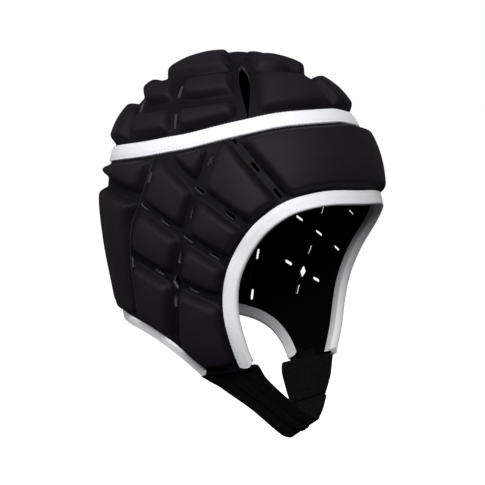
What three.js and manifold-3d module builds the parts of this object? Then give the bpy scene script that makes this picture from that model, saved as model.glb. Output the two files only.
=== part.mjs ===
// Rugby scrum cap: a padded soft head guard, +Z up, millimetres.
// The front faces -Y and the wearer's left is +X.
// The origin is where the top of the wearer's head touches the inside of the crown.
// Each padded panel is drawn flat, as a cutter draws a pattern, and is then laid on the head form.
import * as THREE from "three";
import { mergeVertices } from "three/addons/utils/BufferGeometryUtils.js";
import { TessellateModifier } from "three/addons/modifiers/TessellateModifier.js";
import Module from "manifold-3d";

// Head form, the inner face of the cap
const HALF_WIDTH = 77;
const FRONT_REACH = 98;
const REAR_REACH = 87;
const CROWN_HEIGHT = 91;
const CROWN_ARC = 140;
const SKIRT_DROP = 125;
const FORM_POWER = 2.25;

// Padding and fabric
const SHEET = 2.5;
const FOAM = 10;
const PAD_SHOULDER = 4.5;
const PAD_CORNER = 5.5;
const PAD_MARGIN = 1.5;
const CHANNEL_WIDTH = 6.5;
const CROWN_SEAM_MARGIN = 7;
const SMALLEST_PAD = 60;
const PAD_TOLERANCE = 0.8;
const ROUNDED_BELOW = 2.6;
const CORNER_SHARE = 0.34;
const ROOM_SHARE = 0.85;

// Vents
const VENT_LENGTH = 8;
const CROWN_VENT_LENGTH = 12;
const VENT_WIDTH = 2.6;
const KITE_LENGTH = 8.5;
const KITE_WIDTH = 6;
const LENS_WIDTH = 6.5;
const SEAM_CHANNEL_OFFSET = 2.4;

// Band, bindings and clearances
const BAND_WIDTH = 10.5;
const BAND_PROUD = 1.5;
const FACE_BINDING_WIDTH = 10;
const NECK_BINDING_WIDTH = 7;
const TAPE = 1.5;
const GAP = 0.3;
const TAPE_CLEARANCE = 0.6;

// Chin strap
const STRAP_THICKNESS = 2.5;
const STRAP_TOP_WIDTH = 45;
const STRAP_TOP_TILT = 13;
const STRAP_CHIN_WIDTH = 27;
const STRAP_CHIN_TILT = 33;
const STRAP_DROP = 41.5;
const STRAP_FORWARD = 30;
const STRAP_TUCK = 6;
const STRAP_INSIDE = 2;
const STRAP_BELOW = 3.2;
const STRAP_GRIP = 6;
const STRAP_MARGIN = 2.5;
const STRAP_STEP = 6;
const ANCHOR_THICKNESS = 2;
const ANCHOR_LENGTH = 38;

// Fineness of the faceted surfaces
const FACET = 21;
const LINE_STEP = 12;
const TESSELLATE_PASSES = 14;
const EVEN_PASSES = 40;
const CROWN_SEAM_STEPS = 14;
const PROBE = 0.5;
const STRAP_PROBE = 0.01;
const FLAT_ANGLE = 1e-3;
const SAME_POINT = 1e-3;
const THIN = 1e-6;

const FORM_LENGTH = CROWN_ARC + SKIRT_DROP;
const PATTERN_RADIUS = (HALF_WIDTH + FRONT_REACH + REAR_REACH) / 3;

// Girth of the head form below its widest level, as shares of the three reaches
const GIRTHS = [
  { drop: 0, side: 1, front: 1, rear: 1 },
  { drop: 0.25, side: 0.995, front: 1, rear: 0.955 },
  { drop: 0.5, side: 0.935, front: 0.98, rear: 0.885 },
  { drop: 0.75, side: 0.84, front: 0.93, rear: 0.82 },
  { drop: 1, side: 0.62, front: 0.85, rear: 0.76 },
];

// Lines on the form: turn in degrees round from the front, down as a share of FORM_LENGTH
const BAND_LINE = [
  { turn: 0, down: 0.332 },
  { turn: 30, down: 0.347 },
  { turn: 50, down: 0.37 },
  { turn: 75, down: 0.4 },
  { turn: 90, down: 0.411 },
  { turn: 110, down: 0.423 },
  { turn: 140, down: 0.43 },
  { turn: 180, down: 0.43 },
];
const FACE_LINE = [
  { turn: 0, down: 0.56 },
  { turn: 15, down: 0.56 },
  { turn: 24, down: 0.568 },
  { turn: 32, down: 0.585 },
  { turn: 39, down: 0.617 },
  { turn: 44, down: 0.653 },
  { turn: 48, down: 0.694 },
  { turn: 51, down: 0.74 },
  { turn: 52, down: 0.789 },
  { turn: 51, down: 0.845 },
  { turn: 47, down: 0.91 },
  { turn: 43, down: 0.953 },
];
const NECK_LINE = [
  { turn: 79, down: 0.981 },
  { turn: 91, down: 0.94 },
  { turn: 104, down: 0.902 },
  { turn: 120, down: 0.875 },
  { turn: 150, down: 0.853 },
  { turn: 180, down: 0.838 },
];

// Channels between the pads, with their vents as shares of the channel's own length
const BROW_SEAM = { line: [[56, 0.385], [33, 0.555]], vents: [0.08, 0.48, 0.85] };
const NAPE_SEAM = {
  line: [[95, 0.43], [99, 0.49], [104, 0.553], [111, 0.623], [115, 0.751], [117, 0.86]],
  vents: [0.14, 0.65, 0.9],
};
const SIDE_CHANNELS = [
  { line: [[92, 0.43], [48, 0.611]], vents: [0.5, 0.84] },
  { line: [[61, 0.4], [77, 0.63], [84, 0.747], [90, 0.913]], vents: [0.1, 0.35, 0.57, 0.78] },
  { line: [[140, 0.502], [115, 0.528], [55, 0.702]], vents: [0.17, 0.43, 0.59, 0.75, 0.91] },
  { line: [[112, 0.683], [84, 0.747], [58, 0.796]], vents: [0.33, 0.71] },
];
const KITE_PLACE = { turn: 84, down: 0.747 };
const NAPE_CHANNELS = [
  [[104, 0.545], [115, 0.528], [140, 0.502], [180, 0.502]],
  [[140, 0.43], [140, 0.87]],
];
const CROWN_FRONT_CHANNELS = [{ line: [[48, 0.185], [24, 0.187], [0, 0.2]], vents: [] }];
const CROWN_REAR_CHANNELS = [
  { line: [[40, 0.185], [61, 0.187], [86, 0.198], [112, 0.2], [132, 0.207], [180, 0.2]], vents: [] },
  { line: [[44, 0.29], [56, 0.288], [82, 0.299], [120, 0.306], [180, 0.302]], vents: [] },
  { line: [[102, 0.2], [92, 0.3], [86, 0.4]], vents: [0.28, 0.74] },
  { line: [[142, 0.2], [133, 0.268], [126, 0.309], [119, 0.4]], vents: [0.5] },
];
const CROWN_SEAM = { turn: 47, from: 0.004, to: 0.42, lensFrom: 0.14, lensTo: 0.345 };

// Edges of the chin strap from a tab to the chin, as shares of the way in each direction
const STRAP_ROWS = [
  { across: 0, frontRun: 1, frontDrop: 1, rearRun: 1, rearDrop: 1 },
  { across: 0.12, frontRun: 0.9, frontDrop: 0.935, rearRun: 0.94, rearDrop: 0.96 },
  { across: 0.24, frontRun: 0.77, frontDrop: 0.84, rearRun: 0.85, rearDrop: 0.84 },
  { across: 0.36, frontRun: 0.62, frontDrop: 0.72, rearRun: 0.735, rearDrop: 0.69 },
  { across: 0.48, frontRun: 0.5, frontDrop: 0.61, rearRun: 0.6, rearDrop: 0.53 },
  { across: 0.6, frontRun: 0.43, frontDrop: 0.5, rearRun: 0.43, rearDrop: 0.38 },
  { across: 0.72, frontRun: 0.35, frontDrop: 0.375, rearRun: 0.27, rearDrop: 0.24 },
  { across: 0.84, frontRun: 0.21, frontDrop: 0.214, rearRun: 0.125, rearDrop: 0.11 },
  { across: 1, frontRun: 0, frontDrop: 0, rearRun: 0, rearDrop: 0 },
];

const FABRIC_BLACK = { color: 0x26232a, roughness: 0.72, metalness: 0 };
const TAPE_WHITE = { color: 0xeeeef2, roughness: 0.8, metalness: 0 };
const STRAP_BLACK = { color: 0x0c0c0e, roughness: 0.95, metalness: 0 };

const wasm = await Module();
wasm.setup();

// A smooth value through the rows of a table, level at the first row
function alongRows(rows, key, column, at) {
  const last = rows.length - 1;
  const slope = (i) => {
    if (i === 0) return 0;
    return (rows[i + 1][column] - rows[i - 1][column]) / (rows[i + 1][key] - rows[i - 1][key]);
  };
  let i = 0;
  while (i < last - 1 && at > rows[i + 1][key]) i += 1;
  const span = rows[i + 1][key] - rows[i][key];
  const t = (at - rows[i][key]) / span;
  const rise = rows[i + 1][column] - rows[i][column];
  const start = slope(i) * span;
  const end = i + 1 === last ? 2 * rise - start : slope(i + 1) * span;
  const bend = 3 * rise - 2 * start - end;
  const ease = start + end - 2 * rise;
  return rows[i][column] + t * (start + t * (bend + t * ease));
}

// A point of the head form, from the turn round it and the length down it
function formPoint(turn, down) {
  const a = THREE.MathUtils.degToRad(turn);
  const lean = (Math.min(Math.max(down, 0) / CROWN_ARC, 1) * Math.PI) / 2;
  const drop = Math.max(down - CROWN_ARC, 0);
  const level = drop / SKIRT_DROP;
  const rear = Math.cos(a) < 0;
  const sideReach = HALF_WIDTH * alongRows(GIRTHS, "drop", "side", level);
  const endShare = alongRows(GIRTHS, "drop", rear ? "rear" : "front", level);
  const endReach = (rear ? REAR_REACH : FRONT_REACH) * endShare;
  const across = Math.abs(Math.sin(a) / sideReach) ** FORM_POWER;
  const along = Math.abs(Math.cos(a) / endReach) ** FORM_POWER;
  const radius = (across + along) ** (-1 / FORM_POWER) * Math.sin(lean);
  const height = -CROWN_HEIGHT * (1 - Math.cos(lean)) - drop;
  return new THREE.Vector3(radius * Math.sin(a), -radius * Math.cos(a), height);
}

// A point that stands off the head form by a height
function offForm(turn, down, height) {
  const safe = Math.max(down, 2 * PROBE);
  const round = formPoint(turn + PROBE, safe).sub(formPoint(turn - PROBE, safe));
  const along = formPoint(turn, safe + PROBE).sub(formPoint(turn, safe - PROBE));
  const normal = along.cross(round).normalize();
  return formPoint(turn, down).addScaledVector(normal, height);
}

// Flat patterns: the wrap is for what goes round the head, the disc is for the crown
const WRAP = {
  flat: ([turn, down]) => [THREE.MathUtils.degToRad(turn) * PATTERN_RADIUS, -down],
  place: ([x, y]) => [THREE.MathUtils.radToDeg(x / PATTERN_RADIUS), -y],
  form: (x, y, z) => offForm(THREE.MathUtils.radToDeg(x / PATTERN_RADIUS), -y, z),
};
const DISC = {
  flat: ([turn, down]) => {
    const a = THREE.MathUtils.degToRad(turn);
    return [down * Math.sin(a), -down * Math.cos(a)];
  },
  form: (x, y, z) => offForm(THREE.MathUtils.radToDeg(Math.atan2(x, -y)), Math.hypot(x, y), z),
};
const REAR_MIDDLE = WRAP.flat([180, 0])[0];

// A line of table rows as points in a flat pattern, smooth and evenly stepped
function drawn(pattern, rows) {
  const points = rows.map((row) => {
    const [turn, down] = Array.isArray(row) ? row : [row.turn, row.down];
    return new THREE.Vector2(...pattern.flat([turn, down * FORM_LENGTH]));
  });
  const curve = new THREE.SplineCurve(points);
  const steps = Math.max(2, Math.round(curve.getLength() / LINE_STEP));
  return curve.getSpacedPoints(steps).map((p) => [p.x, p.y]);
}

// The same line mirrored across the middle of the head, at the front or at the rear
function mirrored(points, middle) {
  return points.map(([x, y]) => [2 * middle - x, y]).reverse();
}

// Points without the ones that repeat their neighbour
function single(points) {
  const apart = ([x, y], [u, v]) => Math.hypot(x - u, y - v) > SAME_POINT;
  return points.filter((p, i) => apart(p, points[(i + 1) % points.length]));
}

// A line moved sideways by a true distance on the form, to the left of its travel if positive
function beside(pattern, points, distance) {
  const e = PROBE;
  return points.map(([x, y], i) => {
    const before = points[Math.max(i - 1, 0)];
    const after = points[Math.min(i + 1, points.length - 1)];
    const run = [after[0] - before[0], after[1] - before[1]];
    const px = pattern.form(x + e, y, 0).sub(pattern.form(x - e, y, 0));
    const py = pattern.form(x, y + e, 0).sub(pattern.form(x, y - e, 0));
    const xx = px.dot(px) / (4 * e * e);
    const xy = px.dot(py) / (4 * e * e);
    const yy = py.dot(py) / (4 * e * e);
    const gx = xx * run[0] + xy * run[1];
    const gy = xy * run[0] + yy * run[1];
    const size = Math.sqrt(xx * gy * gy - 2 * xy * gx * gy + yy * gx * gx);
    const shift = typeof distance === "function" ? distance(i) : distance;
    return [x - (gy / size) * shift, y + (gx / size) * shift];
  });
}

// A line made longer at both ends
function extended(points, before, after) {
  const reach = (end, next, length) => {
    const run = Math.hypot(end[0] - next[0], end[1] - next[1]);
    return end.map((value, axis) => value + ((value - next[axis]) * length) / run);
  };
  const last = points.length - 1;
  const first = reach(points[0], points[1], before);
  return [first, ...points.slice(1, last), reach(points[last], points[last - 1], after)];
}

// A closed mesh as a solid that can be cut and joined
function solid(geometry) {
  const bare = geometry.index ? geometry.toNonIndexed() : geometry;
  bare.deleteAttribute("normal");
  bare.deleteAttribute("uv");
  const merged = mergeVertices(bare, 1e-4);
  const mesh = new wasm.Mesh({
    numProp: 3,
    vertProperties: merged.attributes.position.array,
    triVerts: new Uint32Array(merged.index.array),
  });
  return new wasm.Manifold(mesh);
}

// A plate of a flat outline between two heights
function plate(outline, low, high) {
  const shape = new THREE.Shape(single(outline).map(([x, y]) => new THREE.Vector2(x, y)));
  const geometry = new THREE.ExtrudeGeometry(shape, { depth: high - low, bevelEnabled: false });
  return solid(geometry.translate(0, 0, low));
}

// A strip of a true width along a line
function strip(pattern, points, width, low, high) {
  const left = beside(pattern, points, width / 2);
  const right = beside(pattern, points, -width / 2);
  return plate([...right, ...left.reverse()], low, high);
}

// A slot cut along a channel, at a share of its length
function vent(pattern, line, share, length, width) {
  const run = new THREE.Path(line.map(([x, y]) => new THREE.Vector2(x, y)));
  const half = length / 2 / run.getLength();
  const ends = [share - half, share + half].map((at) => run.getPointAt(Math.min(Math.max(at, 0), 1)));
  const points = ends.map((p) => [p.x, p.y]);
  return strip(pattern, points, width, -FOAM, 2 * FOAM);
}

// The flat outlines of the pieces that a cut plate fell into, read from their top faces
function outlines(cut, height) {
  return cut.decompose().map((piece) => {
    const { vertProperties: v, triVerts } = piece.getMesh();
    const edges = new Set();
    for (let i = 0; i < triVerts.length; i += 3) {
      const corners = [triVerts[i], triVerts[i + 1], triVerts[i + 2]];
      if (corners.some((c) => Math.abs(v[3 * c + 2] - height) > SAME_POINT)) continue;
      corners.forEach((c, k) => edges.add(c + " " + corners[(k + 1) % 3]));
    }
    const next = new Map();
    for (const edge of edges) {
      const [a, b] = edge.split(" ");
      if (!edges.has(b + " " + a)) next.set(a, b);
    }
    const loop = [];
    const first = next.keys().next().value;
    let at = first;
    do {
      loop.push([v[3 * at], v[3 * at + 1]]);
      at = next.get(at);
    } while (at !== first && loop.length <= next.size);
    return loop;
  });
}

// An outline with only the points that its shape needs
function simpler(loop, tolerance) {
  const kept = [...loop];
  for (let i = 0; i < kept.length && kept.length > 4; ) {
    const [a, p, b] = [kept.at(i - 1), kept[i], kept[(i + 1) % kept.length]];
    const run = Math.hypot(b[0] - a[0], b[1] - a[1]);
    const off = Math.abs((b[0] - a[0]) * (p[1] - a[1]) - (b[1] - a[1]) * (p[0] - a[0])) / run;
    if (off < tolerance) kept.splice(i, 1);
    else i += 1;
  }
  return kept;
}

// The corners of an outline cut off, so that a pad's shoulder has room to go round them
function withCorners(points) {
  return points.flatMap((p, i) => {
    const to = [points.at(i - 1), points[(i + 1) % points.length]];
    const lengths = to.map((q) => q.distanceTo(p));
    const corner = to[0].clone().sub(p).angleTo(to[1].clone().sub(p));
    if (corner > ROUNDED_BELOW) return [p];
    const cut = Math.min(PAD_CORNER / Math.tan(corner / 2), CORNER_SHARE * Math.min(...lengths));
    return to.map((q, k) => p.clone().lerp(q, cut / lengths[k]));
  });
}

// How far an outline can shrink before one of its edges is gone
function roomInside(points) {
  const count = points.length;
  const way = points.map((p, i) => points[(i + 1) % count].clone().sub(p));
  const bends = way.map((edge, i) => {
    const before = way.at(i - 1);
    return Math.atan2(before.cross(edge), before.dot(edge));
  });
  const rooms = way.map((edge, i) => {
    const shrink = Math.tan(bends[i] / 2) + Math.tan(bends[(i + 1) % count] / 2);
    return shrink > 0 ? edge.length() / shrink : Infinity;
  });
  return Math.min(...rooms);
}

// One foam pad: an outline with its corners cut and a rounded shoulder
function pad(outline) {
  const sharp = simpler(outline, PAD_TOLERANCE).map(([x, y]) => new THREE.Vector2(x, y));
  if (Math.abs(THREE.ShapeUtils.area(sharp)) < SMALLEST_PAD) return null;
  const points = withCorners(sharp);
  const shoulder = Math.min(PAD_SHOULDER, ROOM_SHARE * roomInside(points));
  const foot = SHEET / 2;
  const geometry = new THREE.ExtrudeGeometry(new THREE.Shape(points), {
    depth: FOAM - PAD_SHOULDER - foot,
    bevelThickness: PAD_SHOULDER,
    bevelSize: shoulder,
    bevelOffset: -shoulder,
    bevelSegments: 2,
  });
  return solid(geometry.translate(0, 0, foot)).trimByPlane([0, 0, 1], foot);
}

// A panel: a sheet with its vents, and the pads that the channels leave
function panel(sheet, field, cuts) {
  const pads = outlines(field, FOAM).map(pad).filter((made) => made);
  const whole = pads.reduce((sum, made) => sum.add(made), sheet);
  return cuts.reduce((rest, cut) => rest.subtract(cut), whole);
}

// The same faces with their triangles evened out, by turning the shared edges of flat pairs
function evened(geometry) {
  const { array: v } = geometry.attributes.position;
  const { array: index } = geometry.index;
  const at = (i) => new THREE.Vector3(v[3 * i], v[3 * i + 1], v[3 * i + 2]);
  const facing = (a, b, c) => at(b).sub(at(a)).cross(at(c).sub(at(a)));
  const angle = (a, b, c) => at(b).sub(at(a)).angleTo(at(c).sub(at(a)));
  for (let pass = 0, turned = 1; pass < EVEN_PASSES && turned > 0; pass += 1) {
    turned = 0;
    const owner = new Map();
    for (let i = 0; i < index.length; i += 1) {
      const after = i % 3 === 2 ? i - 2 : i + 1;
      owner.set(index[i] + " " + index[after], i);
    }
    const used = new Set();
    for (const [edge, i] of owner) {
      const [a, b] = edge.split(" ").map(Number);
      const j = owner.get(b + " " + a);
      const [first, second] = [Math.floor(i / 3), Math.floor(j / 3)];
      if (a > b || used.has(first) || used.has(second)) continue;
      const c = index[3 * first + ((i - 3 * first + 2) % 3)];
      const d = index[3 * second + ((j - 3 * second + 2) % 3)];
      if (owner.has(c + " " + d) || owner.has(d + " " + c)) continue;
      const [one, two] = [facing(a, b, c), facing(b, a, d)];
      const flat = one.length() < THIN || two.length() < THIN || one.angleTo(two) < FLAT_ANGLE;
      if (!flat || angle(c, a, b) + angle(d, a, b) < Math.PI + FLAT_ANGLE) continue;
      const [left, right] = [facing(c, a, d), facing(d, b, c)];
      if (left.dot(one) + left.dot(two) <= 0 || right.dot(one) + right.dot(two) <= 0) continue;
      index.set([c, a, d], 3 * first);
      index.set([d, b, c], 3 * second);
      used.add(first).add(second);
      turned += 1;
    }
  }
  return geometry;
}

// A mesh laid on its form from the flat, in facets no longer than a set length
function laid(name, pattern, body, finish, facet) {
  const { vertProperties, triVerts } = body.getMesh();
  const flat = new THREE.BufferGeometry();
  flat.setAttribute("position", new THREE.BufferAttribute(vertProperties, 3));
  flat.setIndex(new THREE.BufferAttribute(triVerts, 1));
  const split = new TessellateModifier(facet, TESSELLATE_PASSES).modify(evened(flat));
  const fine = evened(mergeVertices(split, 1e-4));
  const position = fine.attributes.position;
  for (let i = 0; i < position.count; i += 1) {
    const p = pattern.form(position.getX(i), position.getY(i), position.getZ(i));
    position.setXYZ(i, p.x, p.y, p.z);
  }
  return finished(name, fine, finish);
}

// A named mesh of a finished surface
function finished(name, geometry, finish) {
  geometry.computeVertexNormals();
  const mesh = new THREE.Mesh(geometry, new THREE.MeshStandardMaterial(finish));
  mesh.name = name;
  return mesh;
}

// A strip of one section swept beside a line: each corner of the section has a reach and a height
function swept(pattern, line, section, closed) {
  const count = section.length;
  const edge = closed ? [line.at(-1), ...line, line[0]] : line;
  const rails = section.map(([reach]) => {
    const rail = beside(pattern, edge, reach);
    return closed ? rail.slice(1, -1) : rail;
  });
  const position = line.flatMap((_, i) => {
    return section.flatMap(([, height], k) => pattern.form(...rails[k][i], height).toArray());
  });
  const index = [];
  const stretches = closed ? line.length : line.length - 1;
  for (let i = 0; i < stretches; i += 1) {
    const [here, there] = [i * count, ((i + 1) % line.length) * count];
    for (let k = 0; k < count; k += 1) {
      const l = (k + 1) % count;
      index.push(here + k, there + l, there + k, here + k, here + l, there + l);
    }
  }
  if (!closed) {
    const corners = section.map(([reach, height]) => new THREE.Vector2(reach, height));
    const last = (line.length - 1) * count;
    for (const [a, b, c] of THREE.ShapeUtils.triangulateShape(corners, [])) {
      index.push(a, c, b, last + a, last + b, last + c);
    }
  }
  const geometry = new THREE.BufferGeometry();
  geometry.setAttribute("position", new THREE.Float32BufferAttribute(position, 3));
  return geometry.setIndex(index);
}

// A plate of cells in rows along and across, laid on its form between two heights
function celled(form, along, across, has, low, high) {
  const points = [];
  const index = [];
  const number = new Map();
  const at = (i, j, top) => {
    const key = i + " " + j + " " + top;
    if (!number.has(key)) {
      number.set(key, points.length);
      points.push(form(along[i], across[j], top ? high : low));
    }
    return number.get(key);
  };
  const quad = (a, b, c, d) => index.push(a, b, c, a, c, d);
  const filled = (i, j) => i >= 0 && j >= 0 && i < along.length - 1 && j < across.length - 1 && has(i, j);
  for (let i = 0; i < along.length - 1; i += 1) {
    for (let j = 0; j < across.length - 1; j += 1) {
      if (!filled(i, j)) continue;
      quad(at(i, j, true), at(i + 1, j, true), at(i + 1, j + 1, true), at(i, j + 1, true));
      quad(at(i, j, false), at(i, j + 1, false), at(i + 1, j + 1, false), at(i + 1, j, false));
      const rim = (p, q) => quad(at(...p, false), at(...q, false), at(...q, true), at(...p, true));
      if (!filled(i, j - 1)) rim([i, j], [i + 1, j]);
      if (!filled(i + 1, j)) rim([i + 1, j], [i + 1, j + 1]);
      if (!filled(i, j + 1)) rim([i + 1, j + 1], [i, j + 1]);
      if (!filled(i - 1, j)) rim([i, j + 1], [i, j]);
    }
  }
  const geometry = new THREE.BufferGeometry().setFromPoints(points);
  return geometry.setIndex(index);
}

// The same mesh for the other side of the head
function otherSide(mesh, name) {
  const geometry = mesh.geometry.clone().scale(-1, 1, 1);
  const { array } = geometry.index;
  for (let i = 0; i < array.length; i += 3) [array[i + 1], array[i + 2]] = [array[i + 2], array[i + 1]];
  geometry.computeVertexNormals();
  const twin = new THREE.Mesh(geometry, mesh.material.clone());
  twin.name = name;
  return twin;
}

// Cut pieces: every cutter reaches through the whole thickness
const CUT_REACH = BAND_WIDTH + FACE_BINDING_WIDTH + FOAM;
const CUT_HEIGHT = 2 * FOAM;
const cutter = (points) => plate(points, -CUT_HEIGHT, CUT_HEIGHT);
const cutAll = (base, cutters) => cutters.reduce((rest, cut) => rest.subtract(cut), base);

function channelStrip(pattern, line) {
  const whole = extended(line, CHANNEL_WIDTH / 2, CHANNEL_WIDTH / 2);
  return strip(pattern, whole, CHANNEL_WIDTH, -CUT_HEIGHT, CUT_HEIGHT);
}

function ventsOf(pattern, channels, length) {
  return channels.flatMap(({ line, vents }) => {
    const run = drawn(pattern, line);
    return vents.map((share) => vent(pattern, run, share, length, VENT_WIDTH));
  });
}

// Lower shell, drawn in the wrap pattern
const bandLine = drawn(WRAP, BAND_LINE);
const faceHalf = drawn(WRAP, FACE_LINE);
const neckHalf = drawn(WRAP, NECK_LINE);
const bandFront = [...mirrored(bandLine, 0), ...bandLine.slice(1)];
const bandRear = [...bandLine, ...mirrored(bandLine, REAR_MIDDLE).slice(1)];
const faceLine = [...mirrored(faceHalf, 0), ...faceHalf.slice(1)];
const neckLine = [...neckHalf, ...mirrored(neckHalf, REAR_MIDDLE).slice(1)];
const browChannel = drawn(WRAP, BROW_SEAM.line);
const napeChannel = drawn(WRAP, NAPE_SEAM.line);

const SHEET_INSET = {
  band: BAND_WIDTH / 2 + GAP,
  face: TAPE + TAPE_CLEARANCE,
  neck: TAPE + TAPE_CLEARANCE,
};
const PAD_INSET = {
  band: BAND_WIDTH / 2 + GAP + PAD_MARGIN,
  face: FACE_BINDING_WIDTH + PAD_MARGIN,
  neck: NECK_BINDING_WIDTH + PAD_MARGIN,
};

// All of the flat pattern that lies to the rear of a seam
function beyond(seam, distance, middle) {
  const line = extended(beside(WRAP, drawn(WRAP, seam.line), distance), CUT_REACH, CUT_REACH);
  const low = -2 * FORM_LENGTH;
  const area = [...line, [line.at(-1)[0], low], [2 * REAR_MIDDLE, low], [2 * REAR_MIDDLE, 0]];
  return cutter(middle === undefined ? area : mirrored(area, middle));
}

function foreheadBase(inset, high) {
  const top = beside(WRAP, bandFront, -inset.band);
  const base = plate([...top, ...beside(WRAP, faceLine, inset.face).reverse()], 0, high);
  const shift = -SEAM_CHANNEL_OFFSET - GAP / 2;
  return cutAll(base, [beyond(BROW_SEAM, shift), beyond(BROW_SEAM, shift, 0)]);
}

function sideBase(inset, high) {
  const top = beside(WRAP, bandFront, -inset.band);
  const neck = beside(WRAP, neckHalf, inset.neck).reverse();
  const face = beside(WRAP, faceLine, inset.face).reverse();
  const base = plate([...top, ...neck, ...face], 0, high);
  const fromBrow = beyond(BROW_SEAM, -SEAM_CHANNEL_OFFSET + GAP / 2);
  return base.intersect(fromBrow).subtract(beyond(NAPE_SEAM, SEAM_CHANNEL_OFFSET - GAP / 2));
}

function napeBase(inset, high) {
  const top = beside(WRAP, bandRear, -inset.band);
  const base = plate([...top, ...beside(WRAP, neckLine, inset.neck).reverse()], 0, high);
  const shift = SEAM_CHANNEL_OFFSET + GAP / 2;
  return base.intersect(beyond(NAPE_SEAM, shift)).intersect(beyond(NAPE_SEAM, shift, REAR_MIDDLE));
}

function bothSides(line, middle) {
  return [channelStrip(WRAP, line), channelStrip(WRAP, mirrored(line, middle))];
}

function foreheadPanel() {
  const field = cutAll(foreheadBase(PAD_INSET, FOAM), bothSides(browChannel, 0));
  return panel(foreheadBase(SHEET_INSET, SHEET), field, []);
}

function sidePanel() {
  const channels = SIDE_CHANNELS.map(({ line }) => drawn(WRAP, line));
  const tab = [faceHalf.at(-1), neckHalf[0]];
  const strips = [browChannel, napeChannel, ...channels].map((line) => channelStrip(WRAP, line));
  const field = cutAll(sideBase(PAD_INSET, FOAM), [...strips, channelStrip(WRAP, tab)]);
  const vents = ventsOf(WRAP, [BROW_SEAM, NAPE_SEAM, ...SIDE_CHANNELS], VENT_LENGTH);
  const [x, y] = WRAP.flat([KITE_PLACE.turn, KITE_PLACE.down * FORM_LENGTH]);
  const kite = [
    [x, y - KITE_LENGTH / 2],
    [x + KITE_WIDTH / 2, y],
    [x, y + KITE_LENGTH / 2],
    [x - KITE_WIDTH / 2, y],
  ];
  return panel(sideBase(SHEET_INSET, SHEET), field, [...vents, cutter(kite)]);
}

function napePanel() {
  const centre = [bandLine.at(-1), [REAR_MIDDLE, -FORM_LENGTH]];
  const lines = [napeChannel, ...NAPE_CHANNELS.map((line) => drawn(WRAP, line))];
  const strips = [...lines.flatMap((line) => bothSides(line, REAR_MIDDLE)), channelStrip(WRAP, centre)];
  const field = cutAll(napeBase(PAD_INSET, FOAM), strips);
  return panel(napeBase(SHEET_INSET, SHEET), field, []);
}

// Crown, drawn in the disc pattern
const bandHalfRing = bandLine.map((point) => DISC.flat(WRAP.place(point)));
const bandRing = [...bandHalfRing, ...mirrored(bandHalfRing, 0).slice(1, -1)];

function ringInside(distance) {
  return beside(DISC, [bandRing.at(-1), ...bandRing, bandRing[0]], distance).slice(1, -1);
}

const seamDowns = Array.from({ length: CROWN_SEAM_STEPS + 1 }, (_, i) => {
  return CROWN_SEAM.from + ((CROWN_SEAM.to - CROWN_SEAM.from) * i) / CROWN_SEAM_STEPS;
});
const crownSeam = seamDowns.map((down) => DISC.flat([CROWN_SEAM.turn, down * FORM_LENGTH]));

// The front wedge of the crown, with its lens-shaped openings taken from it or added to it
function crownWedge(side) {
  const edge = beside(DISC, crownSeam, (i) => {
    const share = (seamDowns[i] - CROWN_SEAM.lensFrom) / (CROWN_SEAM.lensTo - CROWN_SEAM.lensFrom);
    const lens = share > 0 && share < 1 ? (LENS_WIDTH / 2) * Math.sin(Math.PI * share) : 0;
    return side * (GAP / 2 + lens);
  });
  const long = extended(edge, 0, FORM_LENGTH);
  return cutter([...long, ...mirrored(long, 0)]);
}

function crownPanel(front) {
  const wedge = crownWedge(front ? -1 : 1);
  const shaped = (inset, high) => {
    const base = plate(ringInside(inset), 0, high);
    return front ? base.intersect(wedge) : base.subtract(wedge);
  };
  const channels = front ? CROWN_FRONT_CHANNELS : CROWN_REAR_CHANNELS;
  const centre = [[0, -FORM_LENGTH], [0, 0], [0, FORM_LENGTH]];
  const lines = channels.map(({ line }) => drawn(DISC, line));
  const seamStrip = (line) => strip(DISC, line, 2 * CROWN_SEAM_MARGIN, -CUT_HEIGHT, CUT_HEIGHT);
  const strips = [
    ...lines.flatMap((line) => [channelStrip(DISC, line), channelStrip(DISC, mirrored(line, 0))]),
    channelStrip(DISC, centre),
    seamStrip(crownSeam),
    seamStrip(mirrored(crownSeam, 0)),
  ];
  const field = cutAll(shaped(PAD_INSET.band, FOAM), strips);
  const near = ventsOf(DISC, channels, CROWN_VENT_LENGTH);
  const far = channels.flatMap(({ line, vents }) => {
    const run = mirrored(drawn(DISC, line), 0);
    return vents.map((share) => vent(DISC, run, 1 - share, CROWN_VENT_LENGTH, VENT_WIDTH));
  });
  return panel(shaped(SHEET_INSET.band, SHEET), field, [...near, ...far]);
}

// The band over the joint, and a tape folded round an edge with two legs and a fold between them
const BAND_SECTION = [
  [-BAND_WIDTH / 2, 0],
  [BAND_WIDTH / 2, 0],
  [BAND_WIDTH / 2, SHEET + BAND_PROUD],
  [-BAND_WIDTH / 2, SHEET + BAND_PROUD],
];

function bindingSection(width) {
  const [under, over] = [-TAPE_CLEARANCE, SHEET + TAPE_CLEARANCE];
  return [
    [0, under],
    [TAPE / 2, under - TAPE],
    [width, under - TAPE],
    [width, under],
    [TAPE, under],
    [TAPE, over],
    [width, over],
    [width, over + TAPE],
    [TAPE / 2, over + TAPE],
    [0, over],
  ];
}

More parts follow.
